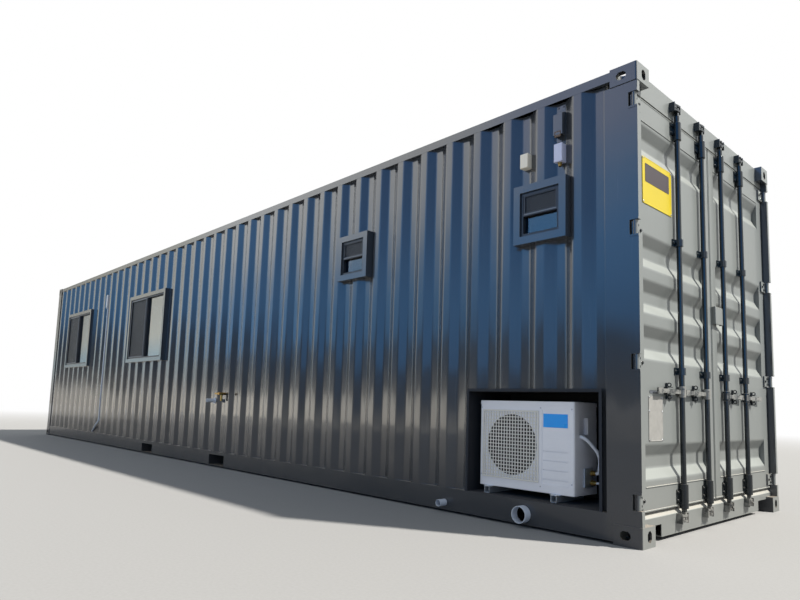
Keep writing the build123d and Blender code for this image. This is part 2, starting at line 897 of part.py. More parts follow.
# Aluminium windows: the small ones are divided across, the big ones by an upright stile
with BuildPart() as window_frames:
    for centre, level, w, h, proud in windows:
        clear_width = w - 2 * surround_face
        clear_height = h - 2 * surround_face
        front = -wall_plane - proud + sash_set_back
        span = (front, front + sash_depth)
        window_hole(centre, level, clear_width, clear_height, span, mode=Mode.ADD)
        window_hole(centre, level, clear_width - 2 * sash_face, clear_height - 2 * sash_face, span)
        if w > h:
            window_hole(centre, level, stile_face, clear_height, span, mode=Mode.ADD)
        else:
            window_hole(centre, level, clear_width, sash_face, span, mode=Mode.ADD)
window_frames.part.label = "window_frames"
export_step(window_frames.part, "parts/window_frames.step")

# Glass: one pane behind each half of a window
with BuildPart() as window_glass:
    for centre, level, w, h, proud in windows:
        clear_width = w - 2 * surround_face - 2 * sash_face
        clear_height = h - 2 * surround_face - 2 * sash_face
        front = -wall_plane - proud + sash_set_back + glass_set_back
        span = (front, front + pane_thickness)
        if w > h:
            pane = (clear_width - stile_face) / 2
            for sign in (-1, 1):
                middle = centre + sign * (stile_face + pane) / 2
                window_hole(middle, level, pane, clear_height, span, mode=Mode.ADD)
        else:
            pane = (clear_height - sash_face) / 2
            for sign in (-1, 1):
                middle = level + sign * (sash_face + pane) / 2
                window_hole(centre, middle, clear_width, pane, span, mode=Mode.ADD)
window_glass.part.label = "window_glass"
export_step(window_glass.part, "parts/window_glass.step")

# Insect screens: upper half of the small windows, left half of the big ones
with BuildPart() as insect_screens:
    for centre, level, w, h, proud in windows:
        clear_width = w - 2 * surround_face - 2 * sash_face
        clear_height = h - 2 * surround_face - 2 * sash_face
        front = -wall_plane - proud + sash_set_back + screen_set_back
        span = (front, front + screen_thickness)
        if w > h:
            pane = (clear_width - stile_face) / 2
            middle = centre - (stile_face + pane) / 2
            window_hole(middle, level, pane, clear_height, span, mode=Mode.ADD)
        else:
            pane = (clear_height - sash_face) / 2
            middle = level + (sash_face + pane) / 2
            window_hole(centre, middle, clear_width, pane, span, mode=Mode.ADD)
insect_screens.part.label = "insect_screens"
export_step(insect_screens.part, "parts/insect_screens.step")

# Recess box for the air conditioner: five plates welded into a box open to the outside, and its edge trim
recess_box_width = (recess_box_left, recess_box_right)
recess_box_depth = (-wall_plane, recess_back + recess_sheet)
recess_depth = (-wall_plane, recess_back)
recess_rise = (rail_top + recess_sheet, recess_top)
trim_depth = (-wall_plane - recess_sheet, -wall_plane)
trim_width = (recess_left - recess_trim, recess_right + recess_trim)
recess_plates = (
    (recess_box_width, recess_box_depth, (rail_top, rail_top + recess_sheet)),
    (recess_box_width, recess_box_depth, (recess_top, recess_box_top)),
    (recess_box_width, (recess_back, recess_back + recess_sheet), recess_rise),
    ((recess_box_left, recess_left), recess_depth, recess_rise),
    ((recess_right, recess_box_right), recess_depth, recess_rise),
    ((trim_width[0], recess_left), trim_depth, (rail_top, recess_top)),
    ((recess_right, trim_width[1]), trim_depth, (rail_top, recess_top)),
    (trim_width, trim_depth, (recess_top, recess_top + recess_trim)),
)
recess_parts = []
for x, y, z in recess_plates:
    with BuildPart() as plate:
        block(x, y, z)
    recess_parts.append(plate.part)
ac_recess = Compound(label="ac_recess", children=recess_parts)
export_step(ac_recess, "parts/ac_recess.step")

# Air conditioner housing: a round well for the fan, a slotted panel and a hand hold in the side
slot_left = unit_left + panel_inset
slot_bottom = unit_bottom + (unit_height - panel_height) / 2
with BuildPart() as ac_housing:
    block((unit_left, unit_right), (unit_front, unit_back), (unit_bottom, unit_top))
    fillet(ac_housing.edges().filter_by(Axis.Z), radius=unit_corner)
    level_pipe(fan_x, fan_z, (unit_front, fan_back), fan_radius, mode=Mode.SUBTRACT)
    block(
        (slot_left, slot_left + panel_width),
        (unit_front, unit_front + panel_recess),
        (slot_bottom, slot_bottom + panel_height),
        mode=Mode.SUBTRACT,
    )
    for number in range(slit_count):
        low = slot_bottom + slit_low + number * slit_pitch
        block(
            (slot_left + slit_margin, slot_left + panel_width - slit_margin),
            (unit_front, unit_front + panel_recess + slit_depth),
            (low, low + slit_height),
            mode=Mode.SUBTRACT,
        )
    block(
        (unit_right - handle_recess, unit_right),
        (unit_front + handle_back, unit_front + handle_back + handle_span),
        (unit_bottom + handle_bottom, unit_bottom + handle_bottom + handle_rise),
        mode=Mode.SUBTRACT,
    )
ac_housing.part.label = "ac_housing"
export_step(ac_housing.part, "parts/ac_housing.step")

# Fan: swept blades on a hub that stands on the back of the well. A blade's corners are given by
# their distance from the axis and their angle.
tip = fan_radius - blade_gap
blade_middle = (tip + fan_hub) / 2
blade_corners = (
    (fan_hub - blade_sink, 75),
    (blade_middle, 40),
    (tip, 38),
    (tip, 60),
    (tip, 85),
    (tip, 108),
    (blade_middle, 118),
    (fan_hub - blade_sink, 140),
)
blade_outline = [
    (radius * math.cos(math.radians(turn)), radius * math.sin(math.radians(turn)))
    for radius, turn in blade_corners
]
with BuildPart() as ac_fan:
    level_pipe(fan_x, fan_z, (fan_back - fan_hub_length, fan_back), fan_hub)
    for number in range(fan_blades):
        blade_plane = Plane(origin=(fan_x, fan_back - fan_well / 2, fan_z), x_dir=(1, 0, 0), z_dir=(0, -1, 0))
        with BuildSketch(blade_plane.rotated((0, 90 + number * 360 / fan_blades, 0))):
            with BuildLine():
                Polyline(*blade_outline, close=True)
            make_face()
        extrude(amount=blade_thickness)
ac_fan.part.label = "ac_fan"
export_step(ac_fan.part, "parts/ac_fan.step")

# Fan guard: a flat square frame round the well, with a grid of bars across it
with BuildPart() as ac_fan_guard:
    guard_middle = (unit_left + guard_offset, unit_front, fan_z)
    guard_plane = Plane(origin=guard_middle, x_dir=(1, 0, 0), z_dir=(0, -1, 0))
    with BuildSketch(guard_plane):
        Rectangle(guard_size, guard_size)
        with Locations((fan_offset - guard_offset, 0)):
            Circle(fan_radius, mode=Mode.SUBTRACT)
    extrude(amount=guard_depth)
    with BuildSketch(guard_plane.offset(guard_depth - guard_wire)):
        guard_pitch = guard_size / (guard_bars + 1)
        with GridLocations(guard_pitch, 0, guard_bars, 1):
            Rectangle(guard_wire, guard_size)
        with GridLocations(0, guard_pitch, 1, guard_bars):
            Rectangle(guard_size, guard_wire)
    extrude(amount=guard_wire)
ac_fan_guard.part.label = "ac_fan_guard"
export_step(ac_fan_guard.part, "parts/ac_fan_guard.step")

# Channel feet under the air conditioner, open below
with BuildPart() as ac_feet:
    for x in (unit_left + left_foot_inset, unit_right - right_foot_inset):
        across = (x - foot_width / 2, x + foot_width / 2)
        along = (unit_front - foot_overhang, unit_back + foot_overhang)
        block(across, along, (foot_bottom, unit_bottom))
        block(
            (across[0] + foot_sheet, across[1] - foot_sheet),
            along,
            (foot_bottom, unit_bottom - foot_sheet),
            mode=Mode.SUBTRACT,
        )
ac_feet.part.label = "ac_feet"
export_step(ac_feet.part, "parts/ac_feet.step")

# Service valves: a folded plate on the unit's side that carries two hexagonal valve bodies
plate_low = unit_bottom + valve_plate_bottom
valve_y = unit_front + service_valve_back
with BuildPart() as ac_valves:
    block(
        (unit_right, unit_right + valve_plate_thickness),
        (unit_front + valve_plate_front, unit_front + valve_plate_front + valve_plate_width),
        (plate_low, plate_low + valve_plate_height),
    )
    for number in range(2):
        valve_level = unit_bottom + service_valve_low + number * service_valve_pitch
        seat = Plane(origin=(unit_right + valve_plate_thickness, valve_y, valve_level), z_dir=(1, 0, 0))
        with BuildSketch(seat):
            RegularPolygon(service_valve_size, 6)
        extrude(amount=service_valve_length)
        with BuildSketch(seat.offset(service_valve_length)):
            RegularPolygon(service_cap_size, 6)
        extrude(amount=service_cap_length)
ac_valves.part.label = "ac_valves"
export_step(ac_valves.part, "parts/ac_valves.step")

# Pipes: one lagged pipe slopes from below the hand hold to the back of the recess, and one branch
# runs from each valve body straight back to it
pipe_x = unit_right + pipe_clearance + pipe_size
pipe_front = unit_front + pipe_start_back
branch_x = unit_right + valve_plate_thickness + service_valve_length / 2
with BuildPart() as ac_pipes:
    with BuildSketch(Plane.XZ.offset(-pipe_front)):
        with Locations((pipe_x, unit_bottom + pipe_start_rise)):
            RegularPolygon(pipe_size, pipe_sides)
    with BuildSketch(Plane.XZ.offset(-recess_back)):
        with Locations((pipe_x, unit_bottom + pipe_start_rise - pipe_fall)):
            RegularPolygon(pipe_size, pipe_sides)
    loft()
    for number in range(2):
        valve_level = unit_bottom + service_valve_low + number * service_valve_pitch
        with BuildSketch(Plane.XZ.offset(-(valve_y + service_valve_size))):
            with Locations((branch_x, valve_level)):
                RegularPolygon(branch_size, pipe_sides)
        extrude(amount=valve_y + service_valve_size - recess_back)
ac_pipes.part.label = "ac_pipes"
export_step(ac_pipes.part, "parts/ac_pipes.step")

# Cargo doors. The left leaf is modelled, and the right leaf is its mirror image.
with BuildPart() as left_door_frame:
    block((leaf_back, leaf_face), (-leaf_outer, -leaf_inner), (leaf_bottom, leaf_top))
    block(
        (leaf_back, leaf_face),
        (-panel_outer, -panel_inner),
        (panel_bottom, panel_top),
        mode=Mode.SUBTRACT,
    )
with BuildPart() as right_door_frame:
    mirror(left_door_frame.part, about=Plane.XZ)

trough_corners = [(panel_bottom, 0.0)]
for level in trough_levels:
    trough_corners.append((level - trough_flat / 2 - trough_slope, 0.0))
    trough_corners.append((level - trough_flat / 2, trough_depth))
    trough_corners.append((level + trough_flat / 2, trough_depth))
    trough_corners.append((level + trough_flat / 2 + trough_slope, 0.0))
trough_corners.append((panel_top, 0.0))
panel_outline = bent_sheet([(z, -leaf_face + inward) for z, inward in trough_corners], wall_sheet)
with BuildPart() as left_door_panel:
    with BuildSketch(Plane.XZ.offset(panel_inner)):
        with BuildLine():
            Polyline(*[(-x, z) for z, x in panel_outline], close=True)
        make_face()
    extrude(amount=panel_outer - panel_inner)
with BuildPart() as right_door_panel:
    mirror(left_door_panel.part, about=Plane.XZ)

# Rubber gasket round the edge of a leaf
gasket_front = leaf_face - gasket_set_back
with BuildPart() as left_door_gasket:
    block(
        (gasket_front - gasket_depth, gasket_front),
        (-leaf_outer - gasket_width, -leaf_inner + gasket_width),
        (leaf_bottom - gasket_width, leaf_top + gasket_width),
    )
    block(
        (gasket_front - gasket_depth, gasket_front),
        (-leaf_outer, -leaf_inner),
        (leaf_bottom, leaf_top),
        mode=Mode.SUBTRACT,
    )
with BuildPart() as right_door_gasket:
    mirror(left_door_gasket.part, about=Plane.XZ)

# Hinge straps: a plate on the hinge stile that ends in a knuckle round the pin
strap_half = notch_height / 2 - knuckle_gap
with BuildPart() as left_hinge_straps:
    for level in hinge_levels:
        tall = (level - strap_half, level + strap_half)
        block((leaf_face, leaf_face + strap_thickness), (-pin_y, -pin_y + strap_reach), tall)
        block((leaf_face, pin_x), (-pin_y, -pin_y + knuckle_radius), tall)
        upright(pin_x, -pin_y, tall, knuckle_radius)
        upright(pin_x, -pin_y, tall, pin_radius + rod_fit, mode=Mode.SUBTRACT)
with BuildPart() as right_hinge_straps:
    mirror(left_hinge_straps.part, about=Plane.XZ)

# Rod brackets on a leaf: bearings round the rods, and open-fronted catches that the handles rest in
catch_low = handle_level - handle_height / 2 - catch_clearance
catch_high = handle_level + handle_height / 2 + catch_clearance
low_bearing = leaf_bottom + end_bearing_margin
high_bearing = leaf_top - end_bearing_margin
bearing_spans = [(low_bearing, low_bearing + end_bearing_height)]
bearing_spans += [(high_bearing - end_bearing_height, high_bearing)]
for level in (low_bearing_level, high_bearing_level):
    bearing_spans.append((level - mid_bearing_height / 2, level + mid_bearing_height / 2))
with BuildPart() as left_rod_brackets:
    for rod_y in (outer_rod_y, inner_rod_y):
        for tall in bearing_spans:
            base = (-rod_y - bearing_base / 2, -rod_y + bearing_base / 2)
            block((leaf_face, leaf_face + bearing_plate), base, tall)
            with BuildSketch(Plane.XY.offset(tall[0])):
                with BuildLine():
                    Polyline(
                        (leaf_face, -rod_y - bearing_half),
                        (rod_x + bearing_half - bearing_chamfer, -rod_y - bearing_half),
                        (rod_x + bearing_half, -rod_y - bearing_half + bearing_chamfer),
                        (rod_x + bearing_half, -rod_y + bearing_half - bearing_chamfer),
                        (rod_x + bearing_half - bearing_chamfer, -rod_y + bearing_half),
                        (leaf_face, -rod_y + bearing_half),
                        close=True,
                    )
                make_face()
            extrude(amount=tall[1] - tall[0])
            upright(rod_x, -rod_y, tall, rod_radius + rod_fit, mode=Mode.SUBTRACT)
    for rod_y in (outer_rod_y, inner_rod_y):
        centre = -rod_y - catch_offset
        across = (centre - catch_width / 2, centre + catch_width / 2)
        plate_span = (catch_low - catch_plate, catch_high + catch_plate)
        block((leaf_face, leaf_face + catch_plate), across, plate_span)
        block((leaf_face, leaf_face + catch_reach), across, (catch_low - catch_plate, catch_low))
        block((leaf_face, leaf_face + catch_reach), across, (catch_high, catch_high + catch_plate))
with BuildPart() as right_rod_brackets:
    mirror(left_rod_brackets.part, about=Plane.XZ)

for piece, name in (
    (left_door_frame, "left_door_frame"),
    (right_door_frame, "right_door_frame"),
    (left_door_panel, "left_door_panel"),
    (right_door_panel, "right_door_panel"),
    (left_door_gasket, "left_door_gasket"),
    (right_door_gasket, "right_door_gasket"),
    (left_hinge_straps, "left_hinge_straps"),
    (right_hinge_straps, "right_hinge_straps"),
    (left_rod_brackets, "left_rod_brackets"),
    (right_rod_brackets, "right_rod_brackets"),
):
    piece.part.label = name
    export_step(piece.part, f"parts/{name}.step")

# Lock box on the right leaf's meeting stile, open below for the padlock
with BuildPart() as lock_box:
    block(
        (leaf_face, leaf_face + lock_box_depth),
        (lock_box_left, lock_box_left + lock_box_width),
        (lock_box_bottom, lock_box_bottom + lock_box_height),
    )
    block(
        (leaf_face, leaf_face + lock_box_depth - lock_box_wall),
        (lock_box_left + lock_box_wall, lock_box_left + lock_box_width - lock_box_wall),
        (lock_box_bottom, lock_box_bottom + lock_box_height - lock_box_wall),
        mode=Mode.SUBTRACT,
    )
lock_box.part.label = "lock_box"
export_step(lock_box.part, "parts/lock_box.step")


def cam_outline(y, outward):
    """Corners of a cam plate: a socket round the rod that narrows to a nose (outward is -1 or 1)."""
    flat = cam_back - cam_chamfer
    corners = [
        (-cam_back, -flat),
        (-flat, -cam_back),
        (flat, -cam_back),
        (cam_reach, -cam_nose / 2),
        (cam_reach, cam_nose / 2),
        (flat, cam_back),
        (-flat, cam_back),
        (-cam_back, flat),
    ]
    return [(rod_x + across, y + outward * reach) for reach, across in corners]


def cam(y, outward, level, inwards):
    """The pieces of a forged cam: two nosed plates, the barrel between them and a socket for the rod."""
    bottom = level - cam_height / 2
    inner_end = level + inwards * cam_height / 2
    pieces = []
    for low in (bottom, bottom + cam_height - cam_plate):
        with BuildPart() as nose:
            with BuildSketch(Plane.XY.offset(low)) as plate:
                with BuildLine():
                    Polyline(*cam_outline(y, outward), close=True)
                make_face()
            extrude(plate.sketch, amount=cam_plate)
        pieces.append(nose.part)
    spans = (
        (bottom + cam_plate, bottom + cam_height - cam_plate),
        sorted((inner_end, inner_end + inwards * cam_socket)),
    )
    for span in spans:
        with BuildPart() as barrel:
            block((rod_x - cam_barrel, rod_x + cam_barrel), (y - cam_barrel, y + cam_barrel), span)
        pieces.append(barrel.part)
    return pieces


# Lock rods: a tube that runs through its bearings, a cam at each end, and a handle riveted round it
cam_barrel = rod_radius * math.sqrt(0.5)
tube_bottom = bottom_cam_level + cam_height / 2 + cam_socket + rod_end_gap
tube_top = top_cam_level - cam_height / 2 - cam_socket - rod_end_gap
rod_names = ("left_outer_rod", "left_inner_rod", "right_inner_rod", "right_outer_rod")
for name, (y, outward) in zip(rod_names, rods):
    with BuildPart() as tube:
        upright(rod_x, y, (tube_bottom, tube_top), rod_radius)
    lower_cam = cam(y, outward, bottom_cam_level, 1)
    upper_cam = cam(y, outward, top_cam_level, -1)
    with BuildPart() as handle:
        block(
            (rod_x - hub_half, rod_x + hub_half),
            (y - hub_half, y + hub_half),
            (handle_level - hub_height / 2, handle_level + hub_height / 2),
        )
        chamfer(handle.edges().filter_by(Axis.Z), length=hub_chamfer)
        bar = sorted((y + outward * hub_half, y + outward * handle_length))
        grip = sorted((y + outward * (handle_length - grip_length), y + outward * handle_length))
        across = (rod_x - handle_thickness / 2, rod_x + handle_thickness / 2)
        block(across, bar, (handle_level - handle_height / 2, handle_level + handle_height / 2))
        block(across, grip, (handle_level - grip_height / 2, handle_level + grip_height / 2))
        upright(
            rod_x,
            y,
            (handle_level - hub_height / 2, handle_level + hub_height / 2),
            rod_radius + rod_fit,
            mode=Mode.SUBTRACT,
        )
    rod = Compound(label=name, children=[tube.part, *lower_cam, *upper_cam, handle.part])
    export_step(rod, f"parts/{name}.step")

# Cam keepers: upright lugs beside each cam, with a tongue that lies between its two noses
keeper_half = cam_height / 2 + keeper_clearance
tongue_half = cam_height / 2 - cam_plate - tongue_clearance
with BuildPart() as cam_keepers:
    for y, outward in rods:
        for level in (bottom_cam_level, top_cam_level):
            tall = (level - keeper_half, level + keeper_half)
            near = y + outward * (cam_reach + keeper_clearance)
            far = y - outward * (cam_back + keeper_clearance)
            front = (sill_front, sill_front + keeper_reach)
            block(front, sorted((near, near + outward * keeper_plate)), tall)
            block(front, sorted((far, far - outward * keeper_plate)), tall)
            tongue_start = near - outward * keeper_gap
            tongue = sorted((tongue_start, y + outward * (cam_back + keeper_clearance)))
            block(front, tongue, (level - tongue_half, level + tongue_half))
cam_keepers.part.label = "cam_keepers"
export_step(cam_keepers.part, "parts/cam_keepers.step")

# Waste pipe stubs, butted on the bottom side rail round its holes
stubs = (
    (drain_x, drain_z, drain_radius, drain_wall, drain_proud),
    (waste_x, waste_z, waste_radius, waste_wall, waste_proud),
)
with BuildPart() as drain_stubs:
    for x, z, radius, wall, proud in stubs:
        level_pipe(x, z, (-frame_side - proud, -frame_side), radius)
        level_pipe(x, z, (-frame_side - proud, -frame_side), radius - wall, mode=Mode.SUBTRACT)
drain_stubs.part.label = "drain_stubs"
export_step(drain_stubs.part, "parts/drain_stubs.step")

# Two small electrical boxes in the valleys of the wall
with BuildPart() as cream_box:
    block(
        (cream_box_x - cream_box_width / 2, cream_box_x + cream_box_width / 2),
        (valley_face - box_depth, valley_face),
        (box_top - cream_box_height, box_top),
    )
    fillet(cream_box.edges().filter_by(Axis.Y), radius=box_corner)
cream_box.part.label = "cream_box"
export_step(cream_box.part, "parts/cream_box.step")

with BuildPart() as grey_box:
    block(
        (grey_box_x - grey_box_width / 2, grey_box_x + grey_box_width / 2),
        (valley_face - box_depth, valley_face),
        (box_top - grey_box_height, box_top),
    )
    fillet(grey_box.edges().filter_by(Axis.Y), radius=box_corner)
    with BuildSketch(Plane.XY.offset(box_top - grey_box_height)):
        with Locations((grey_box_x, valley_face - box_depth / 2)):
            RegularPolygon(gland_radius, 6)
    extrude(amount=-gland_height)
grey_box.part.label = "grey_box"
export_step(grey_box.part, "parts/grey_box.step")

# Wall vent with a sloping hood
vent_across = (vent_x - vent_width / 2, vent_x + vent_width / 2)
with BuildPart() as wall_vent:
    with BuildSketch(Plane.YZ.offset(vent_x - vent_width / 2)):
        with BuildLine():
            Polyline(
                (valley_face, vent_bottom),
                (valley_face - vent_depth, vent_bottom),
                (valley_face - vent_depth, vent_top - vent_lip),
                (valley_face - vent_lip, vent_top),
                (valley_face, vent_top),
                close=True,
            )
        make_face()
    extrude(amount=vent_width)
    block(
        (vent_x - vent_width / 2 + vent_sheet, vent_x + vent_width / 2 - vent_sheet),
        (valley_face - vent_depth + vent_sheet, valley_face - vent_sheet),
        (vent_bottom, vent_top - vent_lip - vent_sheet),
        mode=Mode.SUBTRACT,
    )
    for low, high in ((vent_bottom - vent_flange, vent_bottom), (vent_top, vent_top + vent_flange)):
        block(vent_across, (valley_face - vent_sheet, valley_face), (low, high))
wall_vent.part.label = "wall_vent"
export_step(wall_vent.part, "parts/wall_vent.step")

# Water fittings: a plastic pipe stub on a flange, and a lever valve
stub_span = (-wall_plane - tap_pipe_proud, -lining_outside)
with BuildPart() as water_pipe_stub:
    level_pipe(tap_pipe_x, tap_pipe_z, stub_span, tap_pipe_radius)
    level_pipe(tap_pipe_x, tap_pipe_z, (-wall_plane - tap_flange_height, -wall_plane), tap_flange_radius)
    level_pipe(tap_pipe_x, tap_pipe_z, stub_span, tap_pipe_radius - tap_pipe_wall, mode=Mode.SUBTRACT)
water_pipe_stub.part.label = "water_pipe_stub"
export_step(water_pipe_stub.part, "parts/water_pipe_stub.step")

with BuildPart() as water_valve:
    level_pipe(valve_x, valve_z, (-wall_plane - valve_proud, -lining_outside), valve_radius)
    block(
        (valve_x - lever_length, valve_x + valve_radius / 2),
        (-wall_plane - valve_proud, -wall_plane - valve_proud + lever_thickness),
        (valve_z - lever_width / 2, valve_z + lever_width / 2),
    )
    with BuildSketch(Plane.XY.offset(valve_z - valve_tail_drop)):
        with Locations((valve_x, -wall_plane - valve_proud / 2)):
            RegularPolygon(valve_tail_radius, 6)
    extrude(amount=valve_tail_drop)
water_valve.part.label = "water_valve"
export_step(water_valve.part, "parts/water_valve.step")

# Conduit: a box near the top of the wall, a tube down the valley that bends out at its foot and
# kicks across the next crest, and its clips
tube_y = valley_face - clip_depth - conduit_half
kick_y = -wall_plane - clip_depth - conduit_half
kick_x = conduit_x - kick_reach
with BuildPart() as conduit:
    with BuildLine() as route:
        Polyline(
            (conduit_x, tube_y, conduit_top),
            (conduit_x, tube_y, kick_level + kick_rise),
            (conduit_x, kick_y, kick_level),
            (kick_x, kick_y, kick_end_level),
        )
    with BuildSketch(Plane.XY.offset(conduit_top)):
        with Locations((conduit_x, tube_y)):
            RegularPolygon(conduit_half, conduit_sides, major_radius=False)
    sweep(path=route.line, transition=Transition.RIGHT)
    with BuildSketch(Plane.XZ.offset(-valley_face)) as box_outline:
        with Locations((conduit_x, conduit_top + conduit_box_height / 2)):
            Rectangle(conduit_box_width, conduit_box_height)
        chamfer(box_outline.vertices(), length=conduit_box_chamfer)
    extrude(amount=conduit_box_depth)
    for level in (low_clip_level, high_clip_level):
        block(
            (conduit_x - clip_width / 2, conduit_x + clip_width / 2),
            (valley_face - clip_depth, valley_face),
            (level - clip_height / 2, level + clip_height / 2),
        )
conduit.part.label = "conduit"
export_step(conduit.part, "parts/conduit.step")
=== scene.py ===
# %% [markdown]
# A shipping container made into a cabin: a long corrugated steel box with cargo doors at one end,
# four windows and an outdoor air conditioner in a recess. The rigid pieces come from the packed
# model as a fixed frame. This lesson lights them, paints them, and adds the small pieces that a
# fabricator and a fitter would add by hand. Everything is in metres, in the model's own frame.

# %% Load the frame
import json
import math

import bpy
from mathutils import Matrix, Vector

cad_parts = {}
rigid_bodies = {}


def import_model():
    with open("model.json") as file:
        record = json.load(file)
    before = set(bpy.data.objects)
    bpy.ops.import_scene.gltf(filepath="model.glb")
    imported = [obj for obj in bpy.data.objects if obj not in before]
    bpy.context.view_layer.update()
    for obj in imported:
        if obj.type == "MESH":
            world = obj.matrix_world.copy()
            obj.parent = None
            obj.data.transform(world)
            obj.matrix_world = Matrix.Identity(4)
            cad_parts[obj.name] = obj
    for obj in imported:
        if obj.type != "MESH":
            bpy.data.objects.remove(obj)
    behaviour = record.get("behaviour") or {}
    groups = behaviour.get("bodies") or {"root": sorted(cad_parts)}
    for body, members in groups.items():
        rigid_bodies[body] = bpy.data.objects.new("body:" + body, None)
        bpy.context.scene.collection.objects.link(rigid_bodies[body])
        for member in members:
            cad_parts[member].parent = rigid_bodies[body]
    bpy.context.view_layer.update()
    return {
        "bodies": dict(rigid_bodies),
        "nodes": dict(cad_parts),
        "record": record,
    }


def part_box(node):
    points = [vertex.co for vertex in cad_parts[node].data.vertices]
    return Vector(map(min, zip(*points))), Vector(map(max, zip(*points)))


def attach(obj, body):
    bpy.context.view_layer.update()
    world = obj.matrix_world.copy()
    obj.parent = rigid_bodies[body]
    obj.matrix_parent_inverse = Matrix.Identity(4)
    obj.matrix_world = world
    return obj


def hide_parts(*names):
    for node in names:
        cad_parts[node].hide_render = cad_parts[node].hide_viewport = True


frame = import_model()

nodes = frame["nodes"]

# %% [markdown]
# The camera stands low, to the right of the long side and close to the door end. Its place and its
# three turns were worked out from the eight corners of the box. A camera could also be aimed with a
# constraint, but plain vectors say exactly where it looks and let the horizon lean a little.

# %% Camera at the photograph's angle
YAW = math.radians(46.788)
PITCH = math.radians(6.453)
ROLL = math.radians(1.767)
EYE = Vector((7.753, -4.664, 0.754))
FOCAL_PIXELS = 621.72
PICTURE_WIDTH = 800
PICTURE_HEIGHT = 600
MIDDLE = (401.90, 336.46)
SENSOR = 36


def add_object(name, data):
    made = bpy.data.objects.new(name, data)
    bpy.context.scene.collection.objects.link(made)
    return made


ahead = Vector((-math.sin(YAW) * math.cos(PITCH), math.cos(YAW) * math.cos(PITCH), math.sin(PITCH)))
flat_right = Vector((math.cos(YAW), math.sin(YAW), 0))
flat_up = flat_right.cross(ahead)
right = flat_right * math.cos(ROLL) + flat_up * math.sin(ROLL)
up = flat_up * math.cos(ROLL) - flat_right * math.sin(ROLL)

camera_data = bpy.data.cameras.new("camera")
camera_data.sensor_width = SENSOR
camera_data.lens = FOCAL_PIXELS / PICTURE_WIDTH * SENSOR
camera_data.shift_x = (PICTURE_WIDTH / 2 - MIDDLE[0]) / PICTURE_WIDTH
camera_data.shift_y = (MIDDLE[1] - PICTURE_HEIGHT / 2) / PICTURE_WIDTH
camera_data.clip_start = 0.05
camera_data.clip_end = 400
camera = add_object("camera", camera_data)
camera.matrix_world = Matrix((
    (right.x, up.x, -ahead.x, EYE.x),
    (right.y, up.y, -ahead.y, EYE.y),
    (right.z, up.z, -ahead.z, EYE.z),
    (0, 0, 0, 1)))
bpy.context.scene.camera = camera
bpy.context.scene.view_settings.view_transform = "Standard"
print("lens", round(camera_data.lens, 2), "shift", camera_data.shift_x, camera_data.shift_y)

# %% [markdown]
# A material is a small graph of nodes. Written out one by one it hides its own arithmetic, so two
# helpers come first. One wraps a socket, so that a plus or a times sign adds a Math node. The other
# holds a material while it is made and adds every other node by its type, settings and inputs.

# %% Shader helpers
FINISHES = {}


class Value:
    """An output socket whose arithmetic adds Math nodes to its tree."""

    def __init__(self, finish, socket):
        self.finish = finish
        self.socket = socket

    def maths(self, operation, other):
        return self.finish.node("ShaderNodeMath", {0: self, 1: other}, operation=operation)

    def __add__(self, other):
        return self.maths("ADD", other)

    def __mul__(self, other):
        return self.maths("MULTIPLY", other)

    def __sub__(self, other):
        return self.maths("SUBTRACT", other)

    def __lt__(self, other):
        return self.maths("LESS_THAN", other)

    __radd__ = __add__

    def zigzag(self, half):
        """Up and down between 0 and half, over and over."""
        return self.maths("PINGPONG", half)

    def clamped(self):
        return self.finish.node("ShaderNodeClamp", {0: self})


